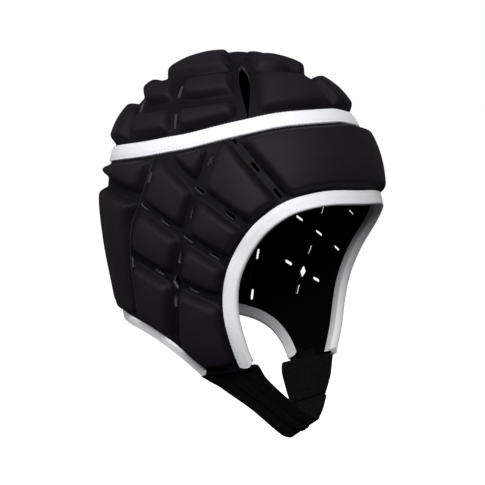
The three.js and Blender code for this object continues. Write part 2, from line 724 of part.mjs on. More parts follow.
// Chin strap, drawn flat with its length along X, the chin at 0, and laid between its two edges
const TAB = {
  turn: (FACE_LINE.at(-1).turn + NECK_LINE[0].turn) / 2,
  down: ((FACE_LINE.at(-1).down + NECK_LINE[0].down) / 2) * FORM_LENGTH,
};
const tabEnd = formPoint(TAB.turn, TAB.down);
const tongueTop = formPoint(TAB.turn, TAB.down - STRAP_TUCK + STRAP_BELOW);
const tilted = (width, tilt) => {
  const a = THREE.MathUtils.degToRad(tilt);
  return new THREE.Vector3(0, (-width / 2) * Math.cos(a), (width / 2) * Math.sin(a));
};
const strapTop = new THREE.Vector3(tabEnd.x - STRAP_INSIDE, tabEnd.y, tabEnd.z - STRAP_BELOW);
const chin = new THREE.Vector3(0, tabEnd.y - STRAP_FORWARD, strapTop.z - STRAP_DROP);
const STRAP_SPAN = strapTop.distanceTo(chin);
const STRAP_EDGES = {
  front: {
    top: strapTop.clone().add(tilted(STRAP_TOP_WIDTH, STRAP_TOP_TILT)),
    chin: chin.clone().add(tilted(STRAP_CHIN_WIDTH, STRAP_CHIN_TILT)),
  },
  rear: {
    top: strapTop.clone().sub(tilted(STRAP_TOP_WIDTH, STRAP_TOP_TILT)),
    chin: chin.clone().sub(tilted(STRAP_CHIN_WIDTH, STRAP_CHIN_TILT)),
  },
};

function strapEdge(edge, across) {
  const share = Math.min(Math.abs(across), 1);
  const run = alongRows(STRAP_ROWS, "across", edge + "Run", share);
  const drop = alongRows(STRAP_ROWS, "across", edge + "Drop", share);
  const { top, chin: low } = STRAP_EDGES[edge];
  const y = top.y + (low.y - top.y) * run;
  const z = top.z + (low.z - top.z) * drop;
  return new THREE.Vector3(strapTop.x * share * Math.sign(across), y, z);
}

function strapSurface(across, over) {
  const point = strapEdge("rear", across).lerp(strapEdge("front", across), over);
  const spare = (Math.max(Math.abs(across) - 1, 0) * STRAP_SPAN) / STRAP_TUCK;
  const up = tongueTop.clone().sub(strapTop);
  up.x = (up.x - 2 * STRAP_INSIDE) * Math.sign(across);
  return point.addScaledVector(up, spare);
}

function strapForm(lifted) {
  const lay = (x, y, z) => {
    const across = x / STRAP_SPAN;
    const over = y / STRAP_TOP_WIDTH;
    const e = STRAP_PROBE;
    const inner = Math.max(-1, Math.min(1, across));
    const along = strapSurface(inner + e * (inner < 0 ? 1 : -1), over).sub(strapSurface(inner, over));
    const wide = strapSurface(inner, over + e).sub(strapSurface(inner, over - e));
    const normal = wide.cross(along).normalize().multiplyScalar(inner < 0 ? -1 : 1);
    const ease = THREE.MathUtils.smoothstep(across, 0, 1 - ANCHOR_LENGTH / STRAP_SPAN);
    const lift = lifted ? ease * (STRAP_THICKNESS + GAP) : 0;
    return strapSurface(across, over).addScaledVector(normal, z + lift);
  };
  return lay;
}

const STRAP_ACROSS = [
  0,
  STRAP_MARGIN,
  STRAP_TOP_WIDTH / 2 - STRAP_GRIP,
  STRAP_TOP_WIDTH / 2 + STRAP_GRIP,
  STRAP_TOP_WIDTH - STRAP_MARGIN,
  STRAP_TOP_WIDTH,
];

function evenly(from, to, step) {
  const count = Math.max(1, Math.round((to - from) / step));
  return Array.from({ length: count + 1 }, (_, i) => from + ((to - from) * i) / count);
}

// The strap is one length: tucked behind the right tab, and stopped short of the left one
function chinStrap() {
  const fork = STRAP_SPAN - ANCHOR_LENGTH;
  const along = [
    -STRAP_SPAN - STRAP_TUCK,
    ...evenly(-STRAP_SPAN, fork, STRAP_STEP),
    ...evenly(fork, STRAP_SPAN - STRAP_TUCK, STRAP_STEP).slice(1),
  ];
  const has = (i, j) => {
    if (i === 0) return j === 2;
    return along[i] < fork - THIN || (j > 0 && j < STRAP_ACROSS.length - 2);
  };
  return celled(strapForm(true), along, STRAP_ACROSS, has, -STRAP_THICKNESS, 0);
}

// The anchor is tucked behind the left tab, inside the strap's end
function strapAnchor() {
  const along = [...evenly(STRAP_SPAN - ANCHOR_LENGTH, STRAP_SPAN, STRAP_STEP), STRAP_SPAN + STRAP_TUCK];
  const has = (i, j) => along[i] < STRAP_SPAN - THIN || j === 2;
  return celled(strapForm(false), along, STRAP_ACROSS, has, -ANCHOR_THICKNESS, 0);
}

const sideLeft = laid("side_panel_left", WRAP, sidePanel(), FABRIC_BLACK, FACET);
const faceBinding = swept(WRAP, faceLine, bindingSection(FACE_BINDING_WIDTH), false);
const neckBinding = swept(WRAP, neckLine, bindingSection(NECK_BINDING_WIDTH), false);
const cap = new THREE.Group();
cap.add(
  laid("forehead_panel", WRAP, foreheadPanel(), FABRIC_BLACK, FACET),
  sideLeft,
  otherSide(sideLeft, "side_panel_right"),
  laid("nape_panel", WRAP, napePanel(), FABRIC_BLACK, FACET),
  laid("crown_front_panel", DISC, crownPanel(true), FABRIC_BLACK, FACET),
  laid("crown_rear_panel", DISC, crownPanel(false), FABRIC_BLACK, FACET),
  finished("crown_band", swept(DISC, bandRing, BAND_SECTION, true), TAPE_WHITE),
  finished("face_binding", faceBinding, TAPE_WHITE),
  finished("neck_binding", neckBinding, TAPE_WHITE),
  finished("chin_strap", chinStrap(), STRAP_BLACK),
  finished("strap_anchor_left", strapAnchor(), STRAP_BLACK),
);
export default cap;
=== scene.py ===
"""A padded scrum cap of vented foam panels, taped edges and a brushed chin strap."""

import math

import bmesh
import bpy
import numpy as np
from mathutils import Matrix, Vector, noise


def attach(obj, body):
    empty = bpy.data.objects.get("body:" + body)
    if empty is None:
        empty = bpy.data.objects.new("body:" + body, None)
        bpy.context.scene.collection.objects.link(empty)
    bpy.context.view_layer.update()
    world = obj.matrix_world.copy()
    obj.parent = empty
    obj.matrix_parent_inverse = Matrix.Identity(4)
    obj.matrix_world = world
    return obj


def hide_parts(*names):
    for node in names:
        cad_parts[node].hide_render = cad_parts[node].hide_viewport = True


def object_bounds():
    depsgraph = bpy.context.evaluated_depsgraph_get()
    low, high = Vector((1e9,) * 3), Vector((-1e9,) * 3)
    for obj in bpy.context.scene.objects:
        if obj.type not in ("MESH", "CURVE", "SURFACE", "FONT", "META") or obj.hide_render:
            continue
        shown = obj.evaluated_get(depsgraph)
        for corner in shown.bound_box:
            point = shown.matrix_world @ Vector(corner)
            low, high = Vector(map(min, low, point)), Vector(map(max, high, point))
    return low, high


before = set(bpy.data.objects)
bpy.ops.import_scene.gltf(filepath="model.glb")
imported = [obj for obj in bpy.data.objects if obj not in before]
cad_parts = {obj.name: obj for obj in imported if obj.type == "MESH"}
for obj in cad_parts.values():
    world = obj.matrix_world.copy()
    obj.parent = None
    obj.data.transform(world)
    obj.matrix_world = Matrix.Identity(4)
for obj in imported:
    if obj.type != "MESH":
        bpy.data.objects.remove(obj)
cad_low, cad_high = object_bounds()

# Camera: at the height of the wearer's cheek, off the right side of the cap's front.
VIEW_TURN = math.radians(-54)
VIEW_RISE = math.radians(2)
VIEW_DISTANCE = 1.15
VIEW_WIDTH = 0.3395
VIEW_HEIGHT = -0.126
VIEW_SHIFT = 0.00525
camera_data = bpy.data.cameras.new("camera")
camera = bpy.data.objects.new("camera", camera_data)
bpy.context.scene.collection.objects.link(camera)
to_right = Vector((math.cos(VIEW_TURN), math.sin(VIEW_TURN), 0))
to_camera = Vector((
    math.sin(VIEW_TURN) * math.cos(VIEW_RISE),
    -math.cos(VIEW_TURN) * math.cos(VIEW_RISE),
    math.sin(VIEW_RISE),
))
camera.location = Vector((0, 0, VIEW_HEIGHT)) + to_right * VIEW_SHIFT + to_camera * VIEW_DISTANCE
camera.rotation_euler = to_camera.to_track_quat("Z", "Y").to_euler()
camera_data.lens = camera_data.sensor_width * VIEW_DISTANCE / VIEW_WIDTH
camera_data.clip_end = 30
bpy.context.scene.camera = camera

# Forehead panel: a foam pad over the brow, between a stretch cloth and a lining. The foam is moulded with
# a flat top and steep, rounded sides. Beyond it the two cloths are pressed together, sewn to the side
# panels and held under the tapes.

# Pieces are laid on a head form. Lengths are in millimetres, turn is in degrees round from the front
# towards the wearer's left, and down is the length down the form from the top of the head.
MM = 0.001
HALF_WIDTH = 77
FRONT_REACH = 98
REAR_REACH = 87
CROWN_HEIGHT = 91
CROWN_ARC = 140
SKIRT_DROP = 125
FORM_POWER = 2.25
FORM_LENGTH = CROWN_ARC + SKIRT_DROP
PATTERN_RADIUS = (HALF_WIDTH + FRONT_REACH + REAR_REACH) / 3
PROBE = 0.5
BROW_LIFT = 4
BROW_DOWN = 156
BROW_SPREAD = 18
BROW_TURN = 75
BROW_FADE = 35
# Columns: level below the widest girth, then the shares of the side, front and rear reaches
GIRTHS = np.array([
    [0, 1, 1, 1],
    [0.25, 0.995, 1, 0.955],
    [0.5, 0.935, 0.98, 0.885],
    [0.75, 0.84, 0.93, 0.82],
    [1, 0.62, 0.85, 0.76],
])


def along_rows(rows, column, at):
    """A smooth value through a table's rows, level at the first row."""
    keys, values = rows[:, 0], rows[:, column]
    slopes = np.zeros(len(keys))
    slopes[1:-1] = (values[2:] - values[:-2]) / (keys[2:] - keys[:-2])
    i = np.clip(np.searchsorted(keys, at, side="right") - 1, 0, len(keys) - 2)
    span = keys[i + 1] - keys[i]
    t = (at - keys[i]) / span
    rise = values[i + 1] - values[i]
    start = slopes[i] * span
    end = np.where(i == len(keys) - 2, 2 * rise - start, slopes[i + 1] * span)
    bend = 3 * rise - 2 * start - end
    ease = start + end - 2 * rise
    return values[i] + t * (start + t * (bend + t * ease))


def head_form(turn, down):
    """Points of the head form."""
    a = np.radians(turn)
    lean = np.clip(down / CROWN_ARC, 0, 1) * math.pi / 2
    drop = np.maximum(down - CROWN_ARC, 0)
    level = drop / SKIRT_DROP
    rear = np.cos(a) < 0
    side = HALF_WIDTH * along_rows(GIRTHS, 1, level)
    front_end = FRONT_REACH * along_rows(GIRTHS, 2, level)
    rear_end = REAR_REACH * along_rows(GIRTHS, 3, level)
    end = np.where(rear, rear_end, front_end)
    across = np.abs(np.sin(a) / side) ** FORM_POWER
    along = np.abs(np.cos(a) / end) ** FORM_POWER
    radius = (across + along) ** (-1 / FORM_POWER) * np.sin(lean)
    height = -CROWN_HEIGHT * (1 - np.cos(lean)) - drop
    return np.stack([radius * np.sin(a), -radius * np.cos(a), height], axis=-1)


def off_form(turn, down, height):
    """Points that stand off the head form by a height."""
    safe = np.maximum(down, 2 * PROBE)
    way_round = head_form(turn + PROBE, safe) - head_form(turn - PROBE, safe)
    way_down = head_form(turn, safe + PROBE) - head_form(turn, safe - PROBE)
    normal = np.cross(way_down, way_round)
    normal /= np.linalg.norm(normal, axis=-1, keepdims=True)
    return head_form(turn, down) + normal * np.asarray(height)[..., None]


def wrap(flat, height):
    """The pattern of what goes round the head, whose edge stands a little off the brow."""
    turn, down = np.degrees(flat[:, 0] / PATTERN_RADIUS), -flat[:, 1]
    front = np.clip((BROW_TURN - np.abs(turn)) / BROW_FADE, 0, 1)
    ease = front * front * (3 - 2 * front)
    lift = BROW_LIFT * np.exp(-((down - BROW_DOWN) / BROW_SPREAD) ** 2) * ease
    return off_form(turn, down, height + lift)


def flat_of(lay, rows):
    """Rows of turn and share of the way down, as points of a flat pattern."""
    turn = np.radians([row[0] for row in rows])
    down = np.array([row[1] for row in rows]) * FORM_LENGTH
    if lay is wrap:
        return np.stack([turn * PATTERN_RADIUS, -down], axis=-1)
    return np.stack([down * np.sin(turn), -down * np.cos(turn)], axis=-1)


def drawn(lay, rows, step=1.0):
    """A smooth, evenly stepped line through rows, in a flat pattern."""
    points = flat_of(lay, rows)
    count = len(points)
    fine = []
    for i in range(count - 1):
        before, start, end, after = (points[np.clip(k, 0, count - 1)] for k in range(i - 1, i + 3))
        t = np.linspace(0, 1, 60, endpoint=False)[:, None]
        pull, push = (end - before) / 2, (after - start) / 2
        bend = 3 * (end - start) - 2 * pull - push
        ease = 2 * (start - end) + pull + push
        fine.append(start + t * (pull + t * (bend + t * ease)))
    fine = np.concatenate([*fine, points[-1:]])
    run = np.concatenate([[0], np.cumsum(np.linalg.norm(np.diff(fine, axis=0), axis=1))])
    even = np.linspace(0, run[-1], max(3, round(run[-1] / step) + 1))
    return np.stack([np.interp(even, run, fine[:, axis]) for axis in (0, 1)], axis=-1)


def mirrored(line, middle=0.0):
    """The same line on the other side of the head."""
    return np.stack([2 * middle - line[::-1, 0], line[::-1, 1]], axis=-1)


def extended(line, before, after):
    """A line made longer at both ends."""
    first = line[0] + (line[0] - line[1]) * before / np.linalg.norm(line[0] - line[1])
    last = line[-1] + (line[-1] - line[-2]) * after / np.linalg.norm(line[-1] - line[-2])
    head = np.linspace(first, line[0], max(2, round(before) + 1))[:-1]
    tail = np.linspace(line[-1], last, max(2, round(after) + 1))[1:]
    return np.concatenate([head, line, tail])


def travel(line):
    """The direction of a line at each of its points."""
    way = np.gradient(line, axis=0)
    return way / np.linalg.norm(way, axis=1, keepdims=True)


def off_line(lay, line, flat, signed):
    """True distance on the form from a line; signed is positive to the left of its travel."""
    rail, spots = lay(line, np.zeros(len(line))), lay(flat, np.zeros(len(flat)))
    far = (rail ** 2).sum(1)[None, :] - 2 * spots @ rail.T
    near = far.argmin(axis=1)
    gap = spots - rail[near]
    way = travel(rail)[near]
    along = (gap * way).sum(1)
    past = ((near == 0) & (along < 0)) | ((near == len(line) - 1) & (along > 0))
    reach = (gap ** 2).sum(1) - np.where(past, 0, along ** 2)
    distance = np.sqrt(np.maximum(reach, 0))
    if not signed:
        return distance
    run, side = travel(line)[near], flat - line[near]
    return distance * np.sign(run[:, 0] * side[:, 1] - run[:, 1] * side[:, 0])


SHEET = 2.5
FOAM = 10
SHOULDER = 4.4
SHOULDER_TOP = 8.9
SHOULDER_TURN = math.pi * 0.42
CROWNING = 7
CORNER_EASE = 1.5
CHANNEL_WIDTH = 6.5
PAD_MARGIN = 1.5
CELL = 0.95
LINING_BELOW = 0.1
WALL_TILT = 0.2
PUNCH_BELOW = 6
PUNCH_LENGTH = 24
EDGE_TRIES = 3
EDGE_PROBE = 0.1
CREASE_ANGLE = 62
CLOTH_SCALE = MM * 10
SEAM_GAP = 0.3
BAND_WIDTH = 10.5
FACE_TAPE_WIDTH = 10
TAPE = 1.5
TAPE_EASE = 0.6
SEAM_OFFSET = 2.4
BAND_LINE = [
    (0, 0.332), (30, 0.347), (50, 0.37), (75, 0.4),
    (90, 0.411), (110, 0.423), (140, 0.43), (180, 0.43),
]
FACE_LINE = [
    (0, 0.56), (15, 0.56), (24, 0.568), (32, 0.585), (39, 0.617), (44, 0.653),
    (48, 0.694), (51, 0.74), (52, 0.789), (51, 0.845), (47, 0.91), (43, 0.953),
]
BROW_CHANNEL = [(56, 0.385), (33, 0.555)]
PAD_BLACK = (0.0098, 0.008, 0.0117, 1)
# Colour in the channels between the pads: painted shade, darker than the same cloth on the pad tops
CHANNEL_PAINTED_SHADE = (0.0026, 0.0019, 0.0034, 1)
# The lining's own black, darkened further as painted shade for the inside of the cap
LINING_BLACK_AND_SHADE = (0.0012, 0.0012, 0.0016, 1)
# Grey of the vents' cut walls: partly the cut edge's own colour, partly painted highlight
CUT_GREY_AND_HIGHLIGHT = (0.13, 0.13, 0.14, 1)

band_half = drawn(wrap, BAND_LINE)
face_half = drawn(wrap, FACE_LINE)
band_front = np.concatenate([mirrored(band_half), band_half[1:]])
face_line = np.concatenate([mirrored(face_half), face_half[1:]])
brow_channel = drawn(wrap, BROW_CHANNEL)


def edge(line, side, inset, pad_inset):
    """A panel's edge: one side of a line, with an inset for the cloth and another for the pads."""
    return {"line": line, "side": side, "inset": inset, "pad": pad_inset}


def inside(lay, edges, key, flat):
    """How far flat points lie inside the nearest of a panel's edges."""
    away = [e["side"] * off_line(lay, e["line"], flat, True) - e[key] for e in edges]
    return np.min(away, axis=0)


def pad_height(lay, edges, channels, flat):
    """Height of the outer cloth: flat in the channels, up a rounded shoulder, then slightly crowned."""
    rims = [e for e in edges if e["pad"] is not None]
    fields = [e["side"] * off_line(lay, e["line"], flat, True) - e["pad"] for e in rims]
    fields += [off_line(lay, line, flat, False) - width / 2 for line, width in channels]
    fields = np.array(fields)
    room = -CORNER_EASE * np.log(np.exp(-np.clip(fields, -20, 60) / CORNER_EASE).sum(axis=0))
    up = np.clip(room / SHOULDER, 0, 1)
    side = np.sin(up * SHOULDER_TURN) / math.sin(SHOULDER_TURN) * (SHOULDER_TOP - SHEET)
    crown = (FOAM - SHOULDER_TOP) * (1 - np.exp(-np.maximum(room - SHOULDER, 0) / CROWNING))
    return SHEET + side + crown


def cloth_cutter(slots):
    """Closed prisms that punch the vents: each is an outline of flat points."""
    bm = bmesh.new()
    for outline in slots:
        face = bm.faces.new([bm.verts.new((x, y, -PUNCH_BELOW)) for x, y in outline])
        risen = bmesh.ops.extrude_face_region(bm, geom=[face], use_keep_orig=True)
        top = [v for v in risen["geom"] if isinstance(v, bmesh.types.BMVert)]
        bmesh.ops.translate(bm, vec=(0, 0, PUNCH_LENGTH), verts=top)
    bmesh.ops.recalc_face_normals(bm, faces=bm.faces[:])
    mesh = bpy.data.meshes.new("punch")
    bm.to_mesh(mesh)
    bm.free()
    return bpy.data.objects.new("punch", mesh)


def punched(flat_mesh, slots):
    """A flat panel with its vents punched through."""
    panel = bpy.data.objects.new("flat_panel", flat_mesh)
    cutter = cloth_cutter(slots)
    for o in (panel, cutter):
        bpy.context.scene.collection.objects.link(o)
    cut = panel.modifiers.new("punch", "BOOLEAN")
    cut.operation, cut.solver, cut.object = "DIFFERENCE", "EXACT", cutter
    done = bpy.data.meshes.new_from_object(panel.evaluated_get(bpy.context.evaluated_depsgraph_get()))
    for o in (panel, cutter):
        bpy.data.objects.remove(o)
    return done


def padded_panel(name, lay, corners, edges, channels, slots, mirror=False):
    """A panel: a flat grid trimmed to its edges, raised into pads, punched and laid on the head."""
    low, high = np.min(corners, axis=0) - 2, np.max(corners, axis=0) + 2
    cells = np.ceil((high - low) / CELL).astype(int)
    bm = bmesh.new()
    place = Matrix.Translation((*((low + high) / 2), 0)) @ Matrix.Diagonal((*((high - low) / 2), 1, 1))
    bmesh.ops.create_grid(bm, x_segments=int(cells[0]), y_segments=int(cells[1]), size=1, matrix=place)
    room = inside(lay, edges, "inset", np.array([v.co.xy for v in bm.verts]))
    outside = [f for f in bm.faces if sum(room[v.index] for v in f.verts) < 0]
    bmesh.ops.delete(bm, geom=outside, context="FACES")
    rim = [v for v in bm.verts if v.is_boundary]
    at = np.array([v.co.xy for v in rim])
    for _ in range(EDGE_TRIES):
        here = inside(lay, edges, "inset", at)
        steps = ([EDGE_PROBE, 0], [0, EDGE_PROBE])
        beyond = [inside(lay, edges, "inset", at + step) for step in steps]
        slope = (np.stack(beyond, axis=-1) - here[:, None]) / EDGE_PROBE
        at = at - slope * (here / np.maximum((slope ** 2).sum(1), 0.2))[:, None]
    for v, (x, y) in zip(rim, at):
        v.co.x, v.co.y = x, y
    verts = list(bm.verts)
    tops = pad_height(lay, edges, channels, np.array([v.co.xy for v in verts]))
    for v, z in zip(verts, tops):
        v.co.z = z
    middle = [v for v in verts if not v.is_boundary]
    bmesh.ops.smooth_vert(bm, verts=middle, factor=0.5, use_axis_z=True)
    bmesh.ops.extrude_face_region(bm, geom=[*bm.verts, *bm.edges, *bm.faces], use_keep_orig=True)
    for v in verts:
        v.co.z = 0
    bmesh.ops.recalc_face_normals(bm, faces=bm.faces[:])
    flat_mesh = bpy.data.meshes.new(name)
    bm.to_mesh(flat_mesh)
    bm.free()
    mesh = punched(flat_mesh, slots) if slots else flat_mesh
    mesh.name = name
    count = len(mesh.vertices)
    flat = np.empty(count * 3)
    mesh.vertices.foreach_get("co", flat)
    flat = flat.reshape(count, 3)
    raised = mesh.attributes.new("pad_height", "FLOAT", "POINT")
    raised.data.foreach_set("value", np.clip((flat[:, 2] - SHEET) / (FOAM - SHEET), 0, 1))
    cloth = mesh.uv_layers.new(name="cloth")
    index = np.empty(len(mesh.loops), dtype=int)
    mesh.loops.foreach_get("vertex_index", index)
    cloth.data.foreach_set("uv", (flat[index, :2] * CLOTH_SCALE).ravel())
    centres = np.empty(len(mesh.polygons) * 3)
    mesh.polygons.foreach_get("center", centres)
    facing = np.empty(len(mesh.polygons) * 3)
    mesh.polygons.foreach_get("normal", facing)
    lining = centres[2::3] < LINING_BELOW
    # Cut walls take the cut-edge material, whose grey is partly painted highlight
    cut_wall = (np.abs(facing[2::3]) < WALL_TILT) & (centres[2::3] < SHEET)
    mesh.polygons.foreach_set("material_index", np.where(cut_wall, 2, lining))
    spots = lay(flat[:, :2], flat[:, 2]) * MM
    if mirror:
        spots[:, 0] *= -1
        mesh.flip_normals()
    mesh.vertices.foreach_set("co", spots.ravel())
    mesh.update()
    mesh.shade_smooth()
    mesh.set_sharp_from_angle(angle=math.radians(CREASE_ANGLE))
    return linked(name, mesh)


def linked(name, mesh):
    """A mesh as a piece of the cap."""
    piece = bpy.data.objects.new(name + "_cloth", mesh)
    bpy.context.scene.collection.objects.link(piece)
    return piece


def dress(piece, slot, *materials):
    """Give a piece its materials, hang it from the root body and hide the solid it stands for."""
    for material in materials:
        piece.data.materials.append(material)
    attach(piece, "root")
    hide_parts(piece.name.removesuffix("_cloth"))


def nodes_of(name):
    """A new material's nodes, links and surface shader."""
    material = bpy.data.materials.new(name)
    material.use_nodes = True
    tree = material.node_tree
    return material, tree.nodes, tree.links, tree.nodes["Principled BSDF"]


def bump_chain(nodes, links, shader, layers):
    """Reliefs laid over each other: each layer is a height output, its strength and its depth."""
    last = None
    for height, strength, depth in layers:
        bump = nodes.new("ShaderNodeBump")
        bump.inputs["Strength"].default_value = strength
        bump.inputs["Distance"].default_value = depth
        links.new(height, bump.inputs["Height"])
        if last:
            links.new(last, bump.inputs["Normal"])
        last = bump.outputs["Normal"]
    links.new(last, shader.inputs["Normal"])


def pad_cloth():
    """Fine black stretch cloth, drawn tight over foam: a close knit, with painted shade that darkens the
    channels.
    """
    material, nodes, links, shader = nodes_of("pad_cloth")
    where = nodes.new("ShaderNodeUVMap")
    where.uv_map = "cloth"
    knit = []
    for axis in ("X", "Y"):
        rib = nodes.new("ShaderNodeTexWave")
        rib.bands_direction = axis
        rib.inputs["Scale"].default_value = 48
        rib.inputs["Distortion"].default_value = 0.6
        rib.inputs["Detail"].default_value = 1
        links.new(where.outputs["UV"], rib.inputs["Vector"])
        knit.append(rib)
    cross = nodes.new("ShaderNodeMath")
    cross.operation = "MULTIPLY"
    links.new(knit[0].outputs["Fac"], cross.inputs[0])
    links.new(knit[1].outputs["Fac"], cross.inputs[1])
    place = nodes.new("ShaderNodeTexCoord")
    soft = nodes.new("ShaderNodeTexNoise")
    soft.inputs["Scale"].default_value = 55
    soft.inputs["Detail"].default_value = 3
    links.new(place.outputs["Object"], soft.inputs["Vector"])
    raised = nodes.new("ShaderNodeAttribute")
    raised.attribute_name = "pad_height"
    # Painted shade: the colour darkens from the pad tops down into the channels
    shade = nodes.new("ShaderNodeMix")
    shade.data_type = "RGBA"
    shade.inputs["A"].default_value = CHANNEL_PAINTED_SHADE
    shade.inputs["B"].default_value = PAD_BLACK
    links.new(raised.outputs["Fac"], shade.inputs["Factor"])
    uneven = nodes.new("ShaderNodeMix")
    uneven.data_type = "RGBA"
    uneven.blend_type = "MULTIPLY"
    uneven.inputs["Factor"].default_value = 0.35
    links.new(shade.outputs["Result"], uneven.inputs["A"])
    links.new(soft.outputs["Fac"], uneven.inputs["B"])
    links.new(uneven.outputs["Result"], shader.inputs["Base Color"])
    shader.inputs["Roughness"].default_value = 0.52
    shader.inputs["Specular IOR Level"].default_value = 0.08
    shader.inputs["Sheen Weight"].default_value = 0.015
    shader.inputs["Sheen Roughness"].default_value = 0.45
    shader.inputs["Sheen Tint"].default_value = (0.86, 0.82, 0.95, 1)
    bump_chain(nodes, links, shader, [
        (soft.outputs["Fac"], 0.35, 0.0012),
        (cross.outputs["Value"], 0.5, 0.0002),
    ])
    return material


def lining_cloth():
    """Thin black lining, a plain close weave with hardly any shine; its black is darkened further as
    painted shade for the inside of the cap.
    """
    material, nodes, links, shader = nodes_of("lining_cloth")
    place = nodes.new("ShaderNodeTexCoord")
    weave = nodes.new("ShaderNodeTexNoise")
    weave.inputs["Scale"].default_value = 800
    weave.inputs["Detail"].default_value = 3
    links.new(place.outputs["Object"], weave.inputs["Vector"])
    # Lining colour: its own black, made darker still as painted shade for the cap's inside
    tone = nodes.new("ShaderNodeMix")
    tone.data_type = "RGBA"
    tone.inputs["A"].default_value = (0.0007, 0.0007, 0.001, 1)
    tone.inputs["B"].default_value = LINING_BLACK_AND_SHADE
    links.new(weave.outputs["Fac"], tone.inputs["Factor"])
    links.new(tone.outputs["Result"], shader.inputs["Base Color"])
    shader.inputs["Roughness"].default_value = 0.9
    shader.inputs["Specular IOR Level"].default_value = 0.03
    bump_chain(nodes, links, shader, [(weave.outputs["Fac"], 0.4, 0.0002)])
    return material


def cut_edge():
    """Where the cloths are cut through: fused, slightly shiny edges, whose grey is partly their own and
    partly painted highlight along the vents' rims.
    """
    material, nodes, links, shader = nodes_of("cut_edge")
    place = nodes.new("ShaderNodeTexCoord")
    grain = nodes.new("ShaderNodeTexNoise")
    grain.inputs["Scale"].default_value = 400
    links.new(place.outputs["Object"], grain.inputs["Vector"])
    tone = nodes.new("ShaderNodeMix")
    tone.data_type = "RGBA"
    tone.inputs["A"].default_value = (0.01, 0.01, 0.011, 1)
    tone.inputs["B"].default_value = CUT_GREY_AND_HIGHLIGHT
    links.new(grain.outputs["Fac"], tone.inputs["Factor"])
    links.new(tone.outputs["Result"], shader.inputs["Base Color"])
    shader.inputs["Roughness"].default_value = 0.4
    shader.inputs["Specular IOR Level"].default_value = 0.4
    return material


BAND_EDGE = (BAND_WIDTH / 2 + SEAM_GAP, BAND_WIDTH / 2 + SEAM_GAP + PAD_MARGIN)
FACE_EDGE = (TAPE + TAPE_EASE, FACE_TAPE_WIDTH + PAD_MARGIN)
LONG = 40
brow_long = extended(brow_channel, LONG, LONG)
cloth_material = pad_cloth()
lining_material = lining_cloth()
cut_material = cut_edge()
face_channels = [(brow_channel, CHANNEL_WIDTH), (mirrored(brow_channel), CHANNEL_WIDTH)]
forehead_corners = flat_of(wrap, [*BAND_LINE[:3], (-56, 0.38), (-33, 0.57), (56, 0.57)])
forehead = padded_panel(
    "forehead_panel",
    wrap,
    forehead_corners,
    [
        edge(band_front, -1, *BAND_EDGE),
        edge(face_line, 1, *FACE_EDGE),
        edge(brow_long, -1, SEAM_OFFSET + SEAM_GAP / 2, None),
        edge(mirrored(brow_long), -1, SEAM_OFFSET + SEAM_GAP / 2, None),
    ],
    face_channels,
    [],
)
dress(forehead, "padded_fabric", cloth_material, lining_material, cut_material)

# Side panels: foam pads over the ears, of the same cloths, with diagonal channels between the pads and
# vents punched along the channels. They are sewn to the forehead and to the nape, and each ends below
# in a tab for the chin strap.
NECK_TAPE_WIDTH = 7
TAB_OVER = 3.2
VENT_LENGTH = 8
VENT_WIDTH = 2.2
KITE = (7.5, 10)
NECK_LINE = [(79, 0.981), (91, 0.94), (104, 0.902), (120, 0.875), (150, 0.853), (180, 0.838)]
NAPE_CHANNEL = [(95, 0.43), (99, 0.49), (104, 0.553), (111, 0.623), (115, 0.751), (117, 0.86)]
# Each channel's points, then its vents as shares of its length
SIDE_CHANNELS = [
    ([(92, 0.43), (48, 0.611)], [0.5, 0.84]),
    ([(61, 0.4), (77, 0.63), (84, 0.747), (90, 0.913)], [0.1, 0.35, 0.57, 0.78]),
    ([(140, 0.502), (115, 0.528), (55, 0.702)], [0.17, 0.43, 0.59, 0.75, 0.91]),
    ([(112, 0.683), (84, 0.747), (58, 0.796)], [0.33, 0.71]),
]
SEAM_VENTS = [(BROW_CHANNEL, [0.08, 0.48, 0.85]), (NAPE_CHANNEL, [0.14, 0.65, 0.9])]
KITE_PLACE = (84, 0.747)
REAR_MIDDLE = math.pi * PATTERN_RADIUS
NECK_EDGE = (TAPE + TAPE_EASE, NECK_TAPE_WIDTH + PAD_MARGIN)


def slot_outline(lay, line, share, length, width):
    """A vent's outline, with round ends, along a line at a share of its length."""
    at = share * (len(line) - 1)
    place = np.array([np.interp(at, np.arange(len(line)), line[:, axis]) for axis in (0, 1)])
    run = travel(line)[round(at)]
    flat = lay(np.array([place, place + run, place + [-run[1], run[0]]]), np.zeros(3))
    along, across = (np.linalg.norm(flat[k] - flat[0]) for k in (1, 2))
    half, radius = (length - width) / 2, width / 2
    outline = []
    for end in (1, -1):
        for k in range(7):
            a = math.radians(-90 + 30 * k + (0 if end > 0 else 180))
            x, y = (half * end + radius * math.cos(a)) / along, radius * math.sin(a) / across
            outline.append(place + x * run + y * np.array([-run[1], run[0]]))
    return outline


